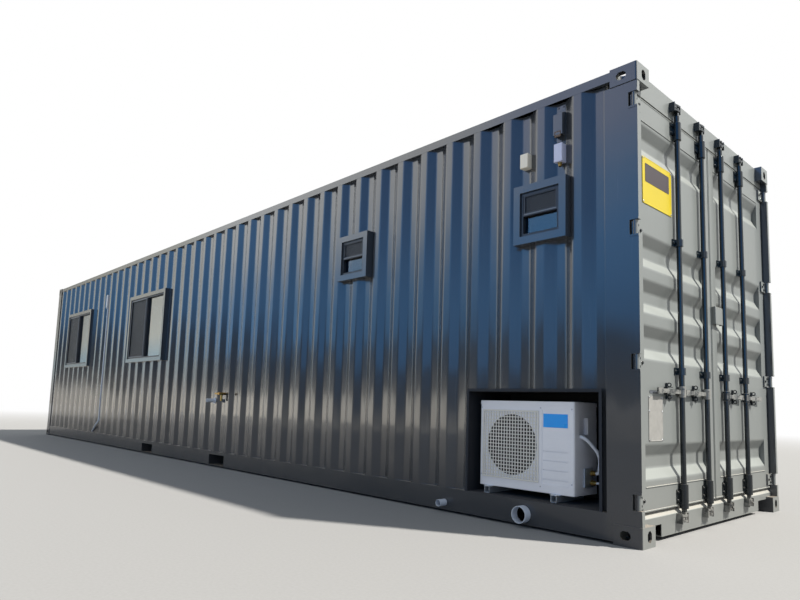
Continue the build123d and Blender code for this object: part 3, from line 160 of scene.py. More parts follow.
class Finish:
    """A material in the making. Once finished it is kept in FINISHES under its name."""

    def __init__(self, name, tree=None, **uniform):
        self.name = name
        if tree is None:
            self.material = bpy.data.materials.new(name)
            self.material.use_nodes = True
            tree = self.material.node_tree
            self.shader = tree.nodes["Principled BSDF"]
            for key, value in uniform.items():
                self.shader.inputs[key.replace("_", " ")].default_value = value
        self.tree = tree

    def node(self, kind, inputs=None, output=0, **settings):
        made = self.tree.nodes.new(kind)
        for name, value in settings.items():
            setattr(made, name, value)
        for key, value in (inputs or {}).items():
            self.feed(made.inputs[key], value)
        return Value(self, made.outputs[output])

    def feed(self, socket, value):
        if isinstance(value, Value):
            self.tree.links.new(value.socket, socket)
        else:
            socket.default_value = value

    def place(self, stretch=None):
        spot = self.node("ShaderNodeTexCoord", output="Object")
        if stretch is None:
            return spot
        return self.node("ShaderNodeMapping", {"Vector": spot, "Scale": stretch})

    def axis(self, name):
        return self.node("ShaderNodeSeparateXYZ", {0: self.place()}, name)

    def facing(self, name):
        """How far the surface faces along an axis of the model, from -1 to 1."""
        turned = self.node("ShaderNodeTexCoord", output="Normal")
        return self.node("ShaderNodeSeparateXYZ", {0: turned}, name)

    def noise(self, scale, detail=2, rough=0.5, stretch=None):
        return self.node("ShaderNodeTexNoise", {
            "Vector": self.place(stretch), "Scale": scale, "Detail": detail, "Roughness": rough})

    def fade(self, value, start, end):
        """0 at start and 1 at end, smooth between them."""
        return self.node("ShaderNodeMapRange", {"Value": value, "From Min": start, "From Max": end},
                         interpolation_type="SMOOTHSTEP")

    def mix(self, share, first, second):
        return self.node("ShaderNodeMix", {0: share, 6: first, 7: second}, 2, data_type="RGBA")

    def ramp(self, value, *stops):
        """Colours that flow between stops, each a place with its red, green and blue."""
        made = self.node("ShaderNodeValToRGB", {0: value})
        elements = made.socket.node.color_ramp.elements
        for index, (place, *colour) in enumerate(stops):
            stop = elements[index] if index < 2 else elements.new(place)
            stop.position = place
            stop.color = (*colour, 1)
        return made

    def glow(self, colour, strength):
        return self.node("ShaderNodeEmission", {"Color": colour, "Strength": strength})

    def bump(self, height, depth, under=None):
        links = {"Height": height, "Distance": depth, "Strength": 1.0}
        if under is not None:
            links["Normal"] = under
        return self.node("ShaderNodeBump", links)

    def shows(self, shader):
        """Send a shader of one's own to the output, past the Principled one."""
        self.tree.links.new(shader.socket, self.tree.nodes["Material Output"].inputs["Surface"])
        return self.material

    def finish(self, **varying):
        for key, value in varying.items():
            self.feed(self.shader.inputs[key.replace("_", " ")], value)
        FINISHES[self.name] = self.material


def tint(red, green, blue):
    """A colour given as it looks on a screen, 0 to 255, as Blender's linear numbers."""
    def linear(level):
        level = level / 255
        return level / 12.92 if level <= 0.04045 else ((level + 0.055) / 1.055) ** 2.4
    return (linear(red), linear(green), linear(blue), 1.0)


print("a middle grey reads as", tint(128, 128, 128))

# %% [markdown]
# The stage is a pale floor that fades to white, so that the shadow stays and the horizon doesn't
# show. Reflections see the floor darker than the camera does, because a mirror image as pale as the
# floor itself would wash out the lower half of the walls.

# %% Floor
FLOOR_HALF = 90
WHITE = (1, 1, 1, 1)
SEEN = ("Camera", "Glossy", "Transmission")


def flat_card(name, corners):
    mesh = bpy.data.meshes.new(name)
    mesh.from_pydata(corners, [], [(0, 1, 2, 3)])
    made = add_object(name, mesh)
    return made


def rays_of(finish, *kinds):
    """1 for the rays of these kinds and 0 for all others."""
    path = finish.tree.nodes.new("ShaderNodeLightPath")
    return sum(Value(finish, path.outputs[f"Is {kind} Ray"]) for kind in kinds).clamped()


corners = ((-1, -1), (1, -1), (1, 1), (-1, 1))
floor = flat_card("floor", [(x * FLOOR_HALF, y * FLOOR_HALF, 0) for x, y in corners])
ground = Finish("pale_floor", Roughness=0.9)
speckle = ground.noise(60, 4, 0.7)
away = ground.node("ShaderNodeVectorMath", {0: ground.place()}, "Value", operation="LENGTH")
surface = ground.mix(speckle, tint(128, 127, 125), tint(142, 141, 139))
ground.finish(Base_Color=ground.mix(rays_of(ground, "Glossy") * 0.72, surface, tint(50, 46, 44)))
blend = ground.node("ShaderNodeMixShader", {
    0: ground.fade(away, 9, 30) * rays_of(ground, *SEEN),
    1: Value(ground, ground.shader.outputs[0]),
    2: ground.glow(WHITE, 1.0)})
floor.data.materials.append(ground.shows(blend))
print("floor", FLOOR_HALF * 2, "m wide")

# %% [markdown]
# Gloss paint shows what stands around it, so two tall cards glow beside the part, and only
# reflections see them. The card off the long side has a light foot, a dark band and blue above, in
# four ramps that take over from one another along the wall. The other, past the doors, is pale.
# Area lamps would light the walls too, but draw no lines in the paint.

# %% Cards for the reflections
CARD_TOP = 16
CARD_GLOW = 2.3
CLOUD_TOP = 22
DARK_BAND = (0.010, 0.012, 0.015)


def mirror_card(name, start, end, across, top):
    """An upright card along X that only reflections see."""
    made = flat_card(name, [(start, across, 0), (end, across, 0), (end, across, top), (start, across, top)])
    for kind in ("camera", "diffuse", "transmission", "shadow"):
        setattr(made, "visible_" + kind, False)
    return made


card = mirror_card("sky_card", -75, 45, -15, CARD_TOP)
paper = Finish("sky_card_paper")
rise = (paper.axis("Z") + paper.noise(1.3, 5, 0.65, (1, 1, 0.2)) * 2.4 - 1.2) * (1 / CARD_TOP)
pale_tones = paper.ramp(rise, (0.0, 0.62, 0.55, 0.46), (0.10, 0.60, 0.60, 0.58), (0.24, 0.46, 0.60, 0.66),
                        (0.34, 0.70, 0.70, 0.62), (0.60, 0.56, 0.55, 0.48))
far_tones = paper.ramp(rise, (0.0, 1.45, 1.34, 1.16), (0.060, 1.35, 1.28, 1.12), (0.088, *DARK_BAND),
                       (0.190, *DARK_BAND), (0.235, 0.065, 0.28, 0.62), (0.33, 0.085, 0.30, 0.62),
                       (0.44, 0.26, 0.40, 0.60), (0.56, 0.74, 0.77, 0.80), (0.80, 0.86, 0.85, 0.82))
near_tones = paper.ramp(rise, (0.0, 0.22, 0.21, 0.19), (0.055, 0.38, 0.36, 0.33), (0.075, *DARK_BAND),
                        (0.185, *DARK_BAND), (0.240, 0.055, 0.26, 0.62), (0.40, 0.085, 0.34, 0.78),
                        (0.50, 0.17, 0.38, 0.72), (0.62, 0.42, 0.48, 0.68))
end_tones = paper.ramp(rise, (0.0, 0.62, 0.58, 0.50), (0.045, *DARK_BAND), (0.105, *DARK_BAND),
                       (0.130, 0.07, 0.29, 0.68), (0.25, 0.075, 0.30, 0.68), (0.42, 0.035, 0.16, 0.42),
                       (0.80, 0.022, 0.11, 0.31))
across = paper.axis("X")
tones = paper.mix(paper.fade(across, -33, -24), pale_tones, far_tones)
tones = paper.mix(paper.fade(across, -8, -4), tones, near_tones)
tones = paper.mix(paper.fade(across, -1, 3), tones, end_tones)
shine = paper.glow(tones, paper.fade(across, -70, -16) * CARD_GLOW + 0.6)
card.data.materials.append(paper.shows(shine))

cloud = mirror_card("cloud_card", 6.6, 45, 15, CLOUD_TOP)
mist = Finish("cloud_card_paper")
height = (mist.axis("Z") + mist.noise(0.25, 4, 0.6) * 3 - 1.5) * (1 / CLOUD_TOP)
haze = mist.ramp(height, (0.0, 0.75, 0.76, 0.74), (0.25, 0.80, 0.83, 0.84), (1.0, 1, 1, 1))
cloud.data.materials.append(mist.shows(mist.glow(haze, mist.fade(height, 0.0, 0.55) * 0.6 + 0.7)))
print("cards", card.name, cloud.name)

# %% [markdown]
# A sun lamp behind the far corner of the door end is the key. It skims the doors, so that troughs
# and rods draw their shapes, and it leaves the long side in soft shade. The air around lifts that
# shade: it is white where it is seen, and weaker and a little blue where it only carries light.

# %% Key and surroundings
KEY_FROM = Vector((0.54, 0.31, 0.80))
KEY_STRENGTH = 8.0
KEY_WIDTH = math.radians(2)
AMBIENT = 0.60

key_data = bpy.data.lights.new("key", "SUN")
key_data.energy = KEY_STRENGTH
key_data.angle = KEY_WIDTH
key_data.color = (1.0, 0.965, 0.91)
key = add_object("key", key_data)
key.rotation_euler = KEY_FROM.to_track_quat("Z", "Y").to_euler()

world = bpy.data.worlds.new("studio")
bpy.context.scene.world = world
world.use_nodes = True
room = Finish("studio", tree=world.node_tree)
air = world.node_tree.nodes["Background"]
seen = rays_of(room, *SEEN)
room.feed(air.inputs["Color"], room.mix(seen, (0.84, 0.92, 1.0, 1), WHITE))
room.feed(air.inputs["Strength"], seen * (1 - AMBIENT) + AMBIENT)
print("key", KEY_STRENGTH, "ambient", AMBIENT)

# %% [markdown]
# The whole steel shell has one gloss coat of slate grey enamel, sprayed over the old paint. Sprayed
# enamel is never quite flat: it has orange peel, the thin sheets under it are slightly dented, and
# rain leaves faint runs. Dust lies low down by the doors and on what faces up, but rain washes the
# roof. At the door end, faces turned to the sun lamp are painted paler and their coat duller, and
# ledges that face up are painted paler still: that is painted sunlight. Use has worn the levers to
# bare metal, and a band of the same colour on the lowest cams is a painted reflection. A picture of
# paint would repeat, so noise at several sizes does all of this instead.

# %% Container paint
SLATE = (tint(50, 54, 60), tint(59, 63, 69))
GEAR_BLACK = (tint(16, 23, 27), tint(24, 32, 36))
# Paler greys that paint sunlight on the door end, where it faces the sun lamp.
PAINTED_SUNLIT_GREY = (tint(108, 112, 110), tint(118, 121, 119))
PAINTED_SUNLIT_LEDGE = tint(136, 141, 137)
RUN_GREY = tint(120, 122, 124)
SCUFF_BROWN = tint(148, 132, 118)
DUST = tint(158, 146, 130)
WEAR_AND_REFLECTION_STEEL = tint(138, 137, 132)
DOOR_END = 5.90
ROOF_LEVEL = 2.86
HANDLE_Z = 0.903
# At the lowest cams the band of bare-metal colour is a painted reflection of the bright ground.
LOW_CAM_REFLECTION_Z = 0.113
WEAR_AND_REFLECTION_HALF = 0.038
NEVER = 2.0


def gloss_paint(name, dark, light, dusty=1.0, dents=0.008, gloss=0.55, painted_sunlit_facing=0.8, wear_and_reflection_at=()):
    """Enamel. At the door end, what faces +X by more than the given limit is painted paler, as painted
    sunlight, and a band at each height in the list is painted the colour of bare metal."""
    paint = Finish(name, IOR=1.5, Coat_Roughness=0.05)
    x = paint.axis("X")
    z = paint.axis("Z")
    upward = paint.facing("Z")
    clouds = paint.noise(0.9, 4, 0.55)
    runs = paint.noise(5, 5, 0.6, (9, 9, 0.35))
    grit = paint.noise(90, 3, 0.7)
    low = paint.fade(z, 0.75, 0.02) * (paint.fade(x, DOOR_END - 0.06, DOOR_END) * 0.75 + 0.25)
    washed = paint.fade(z, ROOF_LEVEL, ROOF_LEVEL - 0.06) * 0.7 + 0.3
    settled = paint.fade(upward, 0.35, 0.95) * washed
    dust = ((low * 0.09 + settled * 0.75) * (grit * 0.9 + 0.35) * dusty).clamped()
    scuffs = paint.fade(paint.noise(60, 7, 0.75), 0.68, 0.80) * paint.fade(z, 0.45, 0.1)
    # Painted sunlight: at the door end, faces turned to the sun lamp take the paler greys, and ledges that
    # face up paler still.
    sun = paint.fade(paint.facing("X"), painted_sunlit_facing, painted_sunlit_facing + 0.1)
    sun = sun * paint.fade(x, DOOR_END - 0.04, DOOR_END)
    painted_sunlit_colour = paint.mix(paint.fade(upward, 0.2, 0.55), paint.mix(clouds, *PAINTED_SUNLIT_GREY), PAINTED_SUNLIT_LEDGE)
    coat = paint.mix(sun, paint.mix(clouds, dark, light), painted_sunlit_colour)
    coat = paint.mix(paint.fade(runs, 0.62, 0.9) * 0.22, coat, RUN_GREY)
    coat = paint.mix(scuffs * 0.16, coat, SCUFF_BROWN)
    coat = paint.mix(dust, coat, DUST)
    # Bands of bare-metal colour: wear on the levers, a painted reflection on the lowest cams.
    for level in wear_and_reflection_at:
        band = paint.fade(z, level - WEAR_AND_REFLECTION_HALF, level - WEAR_AND_REFLECTION_HALF + 0.002)
        band = band * paint.fade(z, level + WEAR_AND_REFLECTION_HALF, level + WEAR_AND_REFLECTION_HALF - 0.002)
        wear_and_reflection_mask = paint.fade(paint.noise(20, 3, 0.6), 0.38, 0.56) * 0.6 + 0.1
        coat = paint.mix(band * wear_and_reflection_mask, coat, WEAR_AND_REFLECTION_STEEL)
    sheet = paint.bump(paint.noise(1.7, 2, 0.4), dents)
    peel = paint.bump(paint.noise(240, 2, 0.5), 0.00025, sheet)
    paint.finish(Base_Color=coat, Roughness=clouds * 0.08 + dust * 0.5 + sun * 0.2 + 0.17,
                 Coat_Weight=sun * (0.2 - gloss) + gloss, Normal=peel)


gloss_paint("container_paint", *SLATE)
# The door end and the hinge straps take painted sunlight on more of their faces.
gloss_paint("door_paint", *SLATE, painted_sunlit_facing=-0.2)
gloss_paint("hinge_paint", *SLATE, dents=0.002, painted_sunlit_facing=0.3)
for name, wear_and_reflection_at in (("gear_paint", ()), ("rod_paint", (HANDLE_Z, LOW_CAM_REFLECTION_Z))):
    gloss_paint(name, *GEAR_BLACK, dusty=0.35, dents=0.0, gloss=0.25, painted_sunlit_facing=NEVER,
                wear_and_reflection_at=wear_and_reflection_at)
print("finishes", sorted(FINISHES))

# %% [markdown]
# The other materials cover small areas: rubber seals, plywood, white wall board, anodised window
# bars, glass, woven mesh, powder-coated casing, moulded plastics, pipe lagging, brass and zinc. Each
# gets the grain, sheen and bump that tells it from its neighbours at arm's length. The glass has a
# thin film of dirt, and the screen is a weave of wires that lets light through between them.

# %% Rubber and boards
seal = Finish("gasket_rubber", Roughness=0.62)
drag = seal.noise(30, 4, 0.6, (1, 1, 0.15))
seal.finish(Base_Color=seal.mix(drag, tint(24, 24, 26), tint(44, 43, 43)), Normal=seal.bump(drag, 0.0006))

board = Finish("floor_board")
grain = board.noise(9, 8, 0.62, (0.7, 12, 12))
joint = board.node("ShaderNodeTexBrick", {
    "Vector": board.place(), "Scale": 1.0, "Mortar Size": 0.0015, "Brick Width": 2.4, "Row Height": 1.2,
    "Color1": (0, 0, 0, 1), "Color2": (0, 0, 0, 1), "Mortar": WHITE}, offset=0.5)
colour = board.mix(grain, tint(120, 84, 54), tint(168, 126, 86))
board.finish(Base_Color=board.mix(joint, colour, tint(52, 38, 28)), Roughness=grain * 0.2 + 0.45,
             Normal=board.bump(grain - joint, 0.0005))

lining = Finish("lining_board")
stipple = lining.noise(150, 3, 0.6)
joint = lining.axis("X").zigzag(0.6) < 0.004
colour = lining.mix(lining.noise(1.2, 2, 0.5), tint(222, 220, 213), tint(232, 231, 226))
lining.finish(Base_Color=lining.mix(joint, colour, tint(176, 174, 168)), Roughness=stipple * 0.1 + 0.5,
              Normal=lining.bump(stipple * 0.15 - joint, 0.0012))
print("finishes", len(FINISHES))

# %% Window bars, glass and insect screen
WIRE_PITCH = 0.0016
bar = Finish("window_aluminium", Metallic=0.35)
drawn = bar.noise(60, 4, 0.6, (1, 1, 8))
bar.finish(Base_Color=bar.mix(drawn, tint(34, 36, 39), tint(52, 54, 58)), Roughness=drawn * 0.12 + 0.3,
           Normal=bar.bump(drawn, 0.00008))

glass = Finish("window_glass", Transmission_Weight=1.0, IOR=1.5, Coat_Weight=0.6, Coat_Roughness=0.02)
film = glass.noise(2.4, 5, 0.6)
glass.finish(Base_Color=glass.mix(film, tint(128, 156, 176), tint(146, 172, 190)),
             Roughness=glass.fade(film, 0.45, 0.8) * 0.10 + 0.03,
             Normal=glass.bump(glass.noise(1.1, 1, 0.4), 0.0012))

mesh = Finish("screen_mesh", Roughness=0.55)
along, rising = ((mesh.axis(name) * (1 / WIRE_PITCH)).zigzag(0.5) for name in "XZ")
wire = (along < 0.17).maths("MAXIMUM", rising < 0.17)
colour = mesh.mix(mesh.noise(14, 4, 0.6), tint(30, 31, 33), tint(52, 52, 53))
mesh.finish(Base_Color=colour, Alpha=wire * 0.62 + 0.36, Normal=mesh.bump(along * rising, 0.0003))
print("finishes", len(FINISHES))

# %% Casing, plastics and metals
def moulded(name, dark, light, grain_size, rough, dusty=0.25):
    """Plastic or powder coat: a fine even grain, faint clouds and dust on what faces up."""
    skin = Finish(name)
    cloud = skin.noise(6, 4, 0.6)
    dust = skin.fade(skin.facing("Z"), 0.3, 1.0) * skin.noise(50, 4, 0.7) * dusty
    colour = skin.mix(dust, skin.mix(cloud, tint(*dark), tint(*light)), tint(150, 138, 120))
    skin.finish(Base_Color=colour, Roughness=cloud * 0.12 + rough,
                Normal=skin.bump(skin.noise(grain_size, 3, 0.6), 0.00015))


def bare_metal(name, dull, bright, rough, metallic=1.0, spangle=None):
    """Metal without paint. A spangle size gives it the crystal pattern of hot-dip zinc."""
    metal = Finish(name, Metallic=metallic)
    stain = metal.noise(22, 6, 0.65)
    colour = metal.mix(stain, tint(*dull), tint(*bright))
    height = metal.noise(300, 2, 0.5)
    if spangle:
        flake = metal.node("ShaderNodeTexVoronoi", {"Vector": metal.place(), "Scale": spangle}, "Color")
        grey = metal.node("ShaderNodeSeparateColor", {0: flake})
        colour = metal.mix(grey * 0.5, colour, tint(*bright))
        height = height + grey
    metal.finish(Base_Color=colour, Roughness=stain * 0.22 + rough, Normal=metal.bump(height, 0.00012))


MOULDED = (
    ("ac_casing", (213, 217, 228), (225, 229, 240), 320, 0.34),
    ("ac_guard", (206, 206, 203), (220, 220, 217), 260, 0.36),
    ("fan_plastic", (70, 72, 76), (92, 94, 98), 200, 0.4),
    ("ring_plastic", (18, 19, 21), (30, 31, 34), 180, 0.5),
    # Painted shade: the inside of the recess is near black for the deep shade in it.
    ("recess_painted_shade", (17, 18, 21), (29, 30, 34), 60, 0.7, 0.12),
    ("badge_blue", (2, 146, 244), (10, 158, 250), 60, 0.22, 0.08),
    ("pipe_lagging", (206, 216, 234), (218, 226, 240), 90, 0.5),
    ("grey_plastic", (166, 174, 184), (186, 193, 202), 200, 0.36),
    ("cream_plastic", (226, 220, 204), (238, 233, 220), 240, 0.4),
    ("pale_plastic", (188, 195, 224), (200, 206, 234), 150, 0.35),
    ("drain_plastic", (196, 206, 222), (210, 218, 232), 150, 0.4),
    ("conduit_coat", (188, 198, 214), (204, 214, 226), 130, 0.35),
    ("vent_brown", (92, 76, 62), (112, 92, 74), 90, 0.6),
    ("dark_sash", (26, 29, 34), (36, 39, 45), 160, 0.4),
    ("painted_seal", (52, 55, 60), (64, 67, 72), 160, 0.5, 0.3),
    ("sign_yellow", (178, 158, 6), (190, 170, 12), 70, 0.3, 0.1),
    ("sign_field", (46, 38, 42), (58, 50, 54), 70, 0.55, 0.1),
    ("strip_grey", (74, 78, 84), (88, 92, 98), 90, 0.4, 0.1))
METALS = (
    ("ac_steel", (168, 172, 176), (206, 209, 212), 0.3, 0.7, 120),
    ("valve_brass", (150, 112, 52), (206, 166, 92), 0.28),
    ("bright_zinc", (150, 152, 156), (214, 216, 220), 0.24),
    ("plate_metal", (122, 121, 117), (158, 156, 151), 0.5, 0.2),
    ("sash_metal", (96, 99, 103), (126, 129, 132), 0.4, 0.45),
    ("worn_metal", (104, 104, 100), (150, 149, 144), 0.5, 0.25))
for settings in MOULDED:
    moulded(*settings)
for settings in METALS:
    bare_metal(*settings)
print("finishes", len(FINISHES))

# %% [markdown]
# Every node of the frame is dressed by the slot that the record gives it. Each slot has a finish of
# the same name, so no node is forgotten. A few nodes then get a finish of their own: the door frames
# and straps, with painted sunlight on more of their faces, the rods and cams, with worn levers and a
# painted reflection on the lowest cams, the seals that were painted over, the pale pipe ends, which
# are plastic, the dark fan, and the recess, which is painted near black as painted shade.

# %% Dress the frame
OWN_FINISH = {
    "door_paint": ("left_door_frame", "right_door_frame", "door_header"),
    "hinge_paint": ("left_hinge_straps", "right_hinge_straps"),
    "rod_paint": ("left_outer_rod", "left_inner_rod", "right_inner_rod", "right_outer_rod", "cam_keepers"),
    "painted_seal": ("left_door_gasket", "right_door_gasket"),
    "conduit_coat": ("conduit",),
    "drain_plastic": ("drain_stubs", "water_pipe_stub"),
    "ring_plastic": ("ac_fan",),
    # The recess takes its finish of painted shade.
    "recess_painted_shade": ("ac_recess",)}


def dress(piece, finish):
    if not piece.material_slots:
        piece.data.materials.append(FINISHES[finish])
    for slot in piece.material_slots:
        slot.material = FINISHES[finish]


slot_of = {entry["node"]: entry["material_slot"] for entry in frame["record"]["subparts"]}
for node_name, slot_name in slot_of.items():
    dress(nodes[node_name], slot_name)
for finish, node_names in OWN_FINISH.items():
    for node_name in node_names:
        dress(nodes[node_name], finish)
print("dressed", len(slot_of), "left", sorted(set(nodes) - set(slot_of)))

# %% [markdown]
# Folded steel has no sharp corners. A press brake leaves a bend with a radius of a few times the
# sheet's thickness, and that radius is what draws the bright upright lines on a corrugated wall.
# A Bevel modifier would also round the cut edges of the sheet, so a merged copy of each sheet is
# bevelled by hand, only where two faces meet at the angle of a bend. The copy then stands for it.

# %% Helpers for modelling
X, Y, Z = range(3)


def go_to(mode):
    bpy.ops.object.mode_set(mode=mode)


def rest():
    """Leave edit mode with nothing selected."""
    if bpy.context.object and bpy.context.object.mode != "OBJECT":
        go_to("OBJECT")
    bpy.ops.object.select_all(action="DESELECT")


def work_on(piece):
    rest()
    bpy.context.view_layer.objects.active = piece
    piece.select_set(True)


def start_picking(piece, kind):
    """Choose faces or edges to be picked, with none of them selected."""
    work_on(piece)
    go_to("EDIT")
    bpy.ops.mesh.select_mode(type=kind)
    bpy.ops.mesh.select_all(action="DESELECT")
    go_to("OBJECT")


def pick_faces(piece, test):
    """Edit mode with only the faces selected whose normal passes the test."""
    start_picking(piece, "FACE")
    for face in piece.data.polygons:
        face.select = test(face.normal)
    go_to("EDIT")


def pick_edges(piece, least, most, test=None):
    """The same for edges where two faces meet at an angle in a range of degrees."""
    start_picking(piece, "EDGE")
    normals = {}
    for face in piece.data.polygons:
        for key in face.edge_keys:
            normals.setdefault(key, []).append(face.normal)
    points = piece.data.vertices
    for edge in piece.data.edges:
        beside = normals.get(tuple(sorted(edge.vertices)), [])
        if len(beside) == 2 and least <= math.degrees(beside[0].angle(beside[1], 0)) <= most:
            start, end = (points[index].co for index in edge.vertices)
            edge.select = test is None or test(start, end)
    go_to("EDIT")


def smooth(piece, degrees=35):
    """Smooth over the small bevels only: the wide faces keep their own normals and stay flat."""
    work_on(piece)
    bpy.ops.object.shade_smooth_by_angle(angle=math.radians(degrees))
    bpy.ops.object.modifier_add(type="WEIGHTED_NORMAL")
    piece.modifiers[-1].keep_sharp = True
    bpy.ops.object.modifier_apply(modifier=piece.modifiers[-1].name)
    rest()


def rework(node_name):
    """A merged copy of a piece of the frame, with its flat faces whole again."""
    rest()
    source = nodes[node_name]
    piece = source.copy()
    piece.data = source.data.copy()
    piece.parent = None
    for key in list(piece.keys()):
        del piece[key]
    piece.name = piece.data.name = node_name + "_formed"
    bpy.context.scene.collection.objects.link(piece)
    work_on(piece)
    bpy.ops.mesh.customdata_custom_splitnormals_clear()
    go_to("EDIT")
    bpy.ops.mesh.select_all(action="SELECT")
    bpy.ops.mesh.remove_doubles(threshold=0.00005)
    bpy.ops.mesh.dissolve_limited(angle_limit=math.radians(0.5))
    rest()
    return piece


def settle(piece, slot_name, *replaced, finish=None, body="container"):
    """Dress a finished piece with its own finish or else its slot's, hang it on its body, and hide the parts
    of the frame that it stands for.
    """
    dress(piece, finish or slot_name)
    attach(piece, body)
    if replaced:
        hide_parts(*replaced)


body_of = {}
for body_name, empty in frame["bodies"].items():
    for child in empty.children:
        body_of[child.name] = body_name

# %% Round the bends of the sheets
BENDS = {
    "window_wall": 0.011, "recess_bay_wall": 0.011, "back_wall": 0.011, "far_end_wall": 0.011,
    "roof_panel": 0.006, "left_door_panel": 0.010, "right_door_panel": 0.010}
for name, radius in BENDS.items():
    sheet = rework(name)
    pick_edges(sheet, 12, 65)
    bpy.ops.mesh.bevel(offset=radius, segments=3, clamp_overlap=False, loop_slide=False)
    smooth(sheet)
    settle(sheet, slot_of[name], name, body=body_of[name])
    print(name, "faces", len(sheet.data.polygons))

# %% [markdown]
# The small pieces repeat a few ways of working: a box or a drum is added at its size and place, some
# faces are inset, pushed or bridged, and the edges are rounded, because a sharp edge catches no light.
# What repeats, such as a bar or a bolt, is shaped once and copied, and the copies of one kind are
# joined into one piece for each moving body.

# %% Boxes and drums
def take(name):
    """Name the piece that was just added, and apply its place and size."""
    made = bpy.context.object
    made.name = made.data.name = name
    bpy.ops.object.transform_apply(location=True, rotation=True, scale=True)
    return made


def block(name, low, high):
    rest()
    low, high = Vector(low), Vector(high)
    bpy.ops.mesh.primitive_cube_add(size=1, location=(low + high) / 2, scale=high - low)
    return take(name)


def drum(name, start, end, radius, sides=32):
    rest()
    start, end = Vector(start), Vector(end)
    turn = (end - start).to_track_quat("Z", "Y").to_euler()
    bpy.ops.mesh.primitive_cylinder_add(
        vertices=sides, radius=radius, depth=(end - start).length, location=(start + end) / 2, rotation=turn)
    return take(name)


def round_off(piece, offset, segments=2, test=None, least=40, most=140):
    """Bevel the edges that pass the test, with faces that meet at an angle between the two limits."""
    pick_edges(piece, least, most, test)
    bpy.ops.mesh.bevel(offset=offset, segments=segments, clamp_overlap=True)
    smooth(piece)
    return piece


def below(axis, limit):
    """A test for edges that lie wholly below a limit on an axis."""
    return lambda start, end: max(start[axis], end[axis]) < limit


def above(axis, limit):
    return lambda start, end: min(start[axis], end[axis]) > limit


def spans(axis, length):
    """A test for edges that run further than a length along an axis."""
    return lambda start, end: abs(start[axis] - end[axis]) > length


def every(*tests):
    return lambda start, end: all(test(start, end) for test in tests)


def tunnel(piece, axis, wall):
    """Open a box or drum from end to end along an axis, with walls of one thickness."""
    pick_faces(piece, lambda normal: abs(normal[axis]) > 0.9)
    bpy.ops.mesh.inset(thickness=wall)
    bpy.ops.mesh.bridge_edge_loops()
    rest()
    return piece


def inset_side(piece, direction, thickness, depth=0.0):
    """Inset the side that faces one way, and leave it in edit mode to be moved on."""
    pick_faces(piece, lambda normal: normal.dot(Vector(direction)) > 0.9)
    bpy.ops.mesh.inset(thickness=thickness, depth=depth)


print("boxes and drums ready")

# %% Copies, joins, rows and pipes
def copy_at(piece, shift):
    twin = piece.copy()
    twin.data = piece.data.copy()
    twin.data.transform(Matrix.Translation(shift))
    bpy.context.scene.collection.objects.link(twin)
    return twin


def join(name, pieces):
    rest()
    for piece in pieces:
        piece.select_set(True)
    bpy.context.view_layer.objects.active = pieces[0]
    bpy.ops.object.join()
    whole = pieces[0]
    whole.name = whole.data.name = name
    rest()
    return whole


def row(piece, count, step):
    """Repeat a piece in place along a step with an Array modifier, applied."""
    work_on(piece)
    bpy.ops.object.modifier_add(type="ARRAY")
    repeat = piece.modifiers[-1]
    repeat.count = count
    repeat.use_relative_offset = False
    repeat.use_constant_offset = True
    repeat.constant_offset_displace = step
    bpy.ops.object.modifier_apply(modifier=repeat.name)
    rest()
    return piece


def tube(name, points, radius):
    """A pipe along a smooth curve through a few guide points."""
    rest()
    bpy.ops.curve.primitive_nurbs_path_add()
    made = bpy.context.object
    made.name = made.data.name = name
    line = made.data.splines[0]
    line.points.add(max(0, len(points) - len(line.points)))
    for point, place in zip(line.points, points):
        point.co = (*place, 1)
    line.order_u = 3
    line.use_endpoint_u = True
    line.resolution_u = 8
    made.data.bevel_depth = radius
    made.data.bevel_resolution = 4
    made.data.use_fill_caps = True
    work_on(made)
    bpy.ops.object.convert(target="MESH")
    take(name)
    smooth(made, 50)
    return made


print("modelling helpers ready")

# %% [markdown]
# The outdoor unit of the air conditioner is the brightest thing on the dark side, so it is looked at
# first. Its guard is a moulded grille: a frame and thin bars that leave small square holes. Painted
# holes would throw no shadows into the well, so one bar is rounded and an array repeats it to fill
# the frame, once for each way.

# %% Grille of the air conditioner
CELLS = 20
HALF_BAR = 0.0031
LAP = 0.009
low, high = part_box("ac_fan_guard")
pitch = (high.x - low.x) / CELLS


def grille_bars(name, start, end, step):
    """Round the outer edges of one bar and repeat it across the frame."""
    bar = block(name, start, end)
    round_off(bar, 0.0018, test=lambda first, last: min(first.y, last.y) < start[1] + 0.0002)
    return row(bar, CELLS - 1, step)


rim = round_off(tunnel(block("grille_frame", low, high), Y, 0.010), 0.0022)
uprights = grille_bars("grille_upright", (low.x + pitch - HALF_BAR, low.y + 0.0008, low.z + LAP),
                       (low.x + pitch + HALF_BAR, low.y + 0.0064, high.z - LAP), (pitch, 0, 0))
levels = grille_bars("grille_level", (low.x + LAP, low.y + 0.0014, low.z + pitch - HALF_BAR),
                     (high.x - LAP, low.y + 0.0068, low.z + pitch + HALF_BAR), (0, 0, pitch))
grille = join("fan_grille", [rim, uprights, levels])
settle(grille, "ac_guard", "ac_fan_guard")
print("grille faces", len(grille.data.polygons))

# %% [markdown]
# Behind the grille the fan turns in a ring with the finned coil at its back, all of it dark. The ring
# is a drum opened from end to end, with its mouth rounded. Without it the pale casing would show in
# the well and the grille would lose its contrast.

# %% Fan ring and coil
fins = Finish("coil_fins", Metallic=0.4)
ripple = (fins.axis("X") * 480).zigzag(0.5)
soot = fins.noise(11, 5, 0.6)
colour = fins.mix(ripple, tint(14, 14, 16), fins.mix(soot, tint(34, 35, 38), tint(52, 53, 56)))
fins.finish(Base_Color=colour, Roughness=soot * 0.2 + 0.45, Normal=fins.bump(ripple, 0.0012))

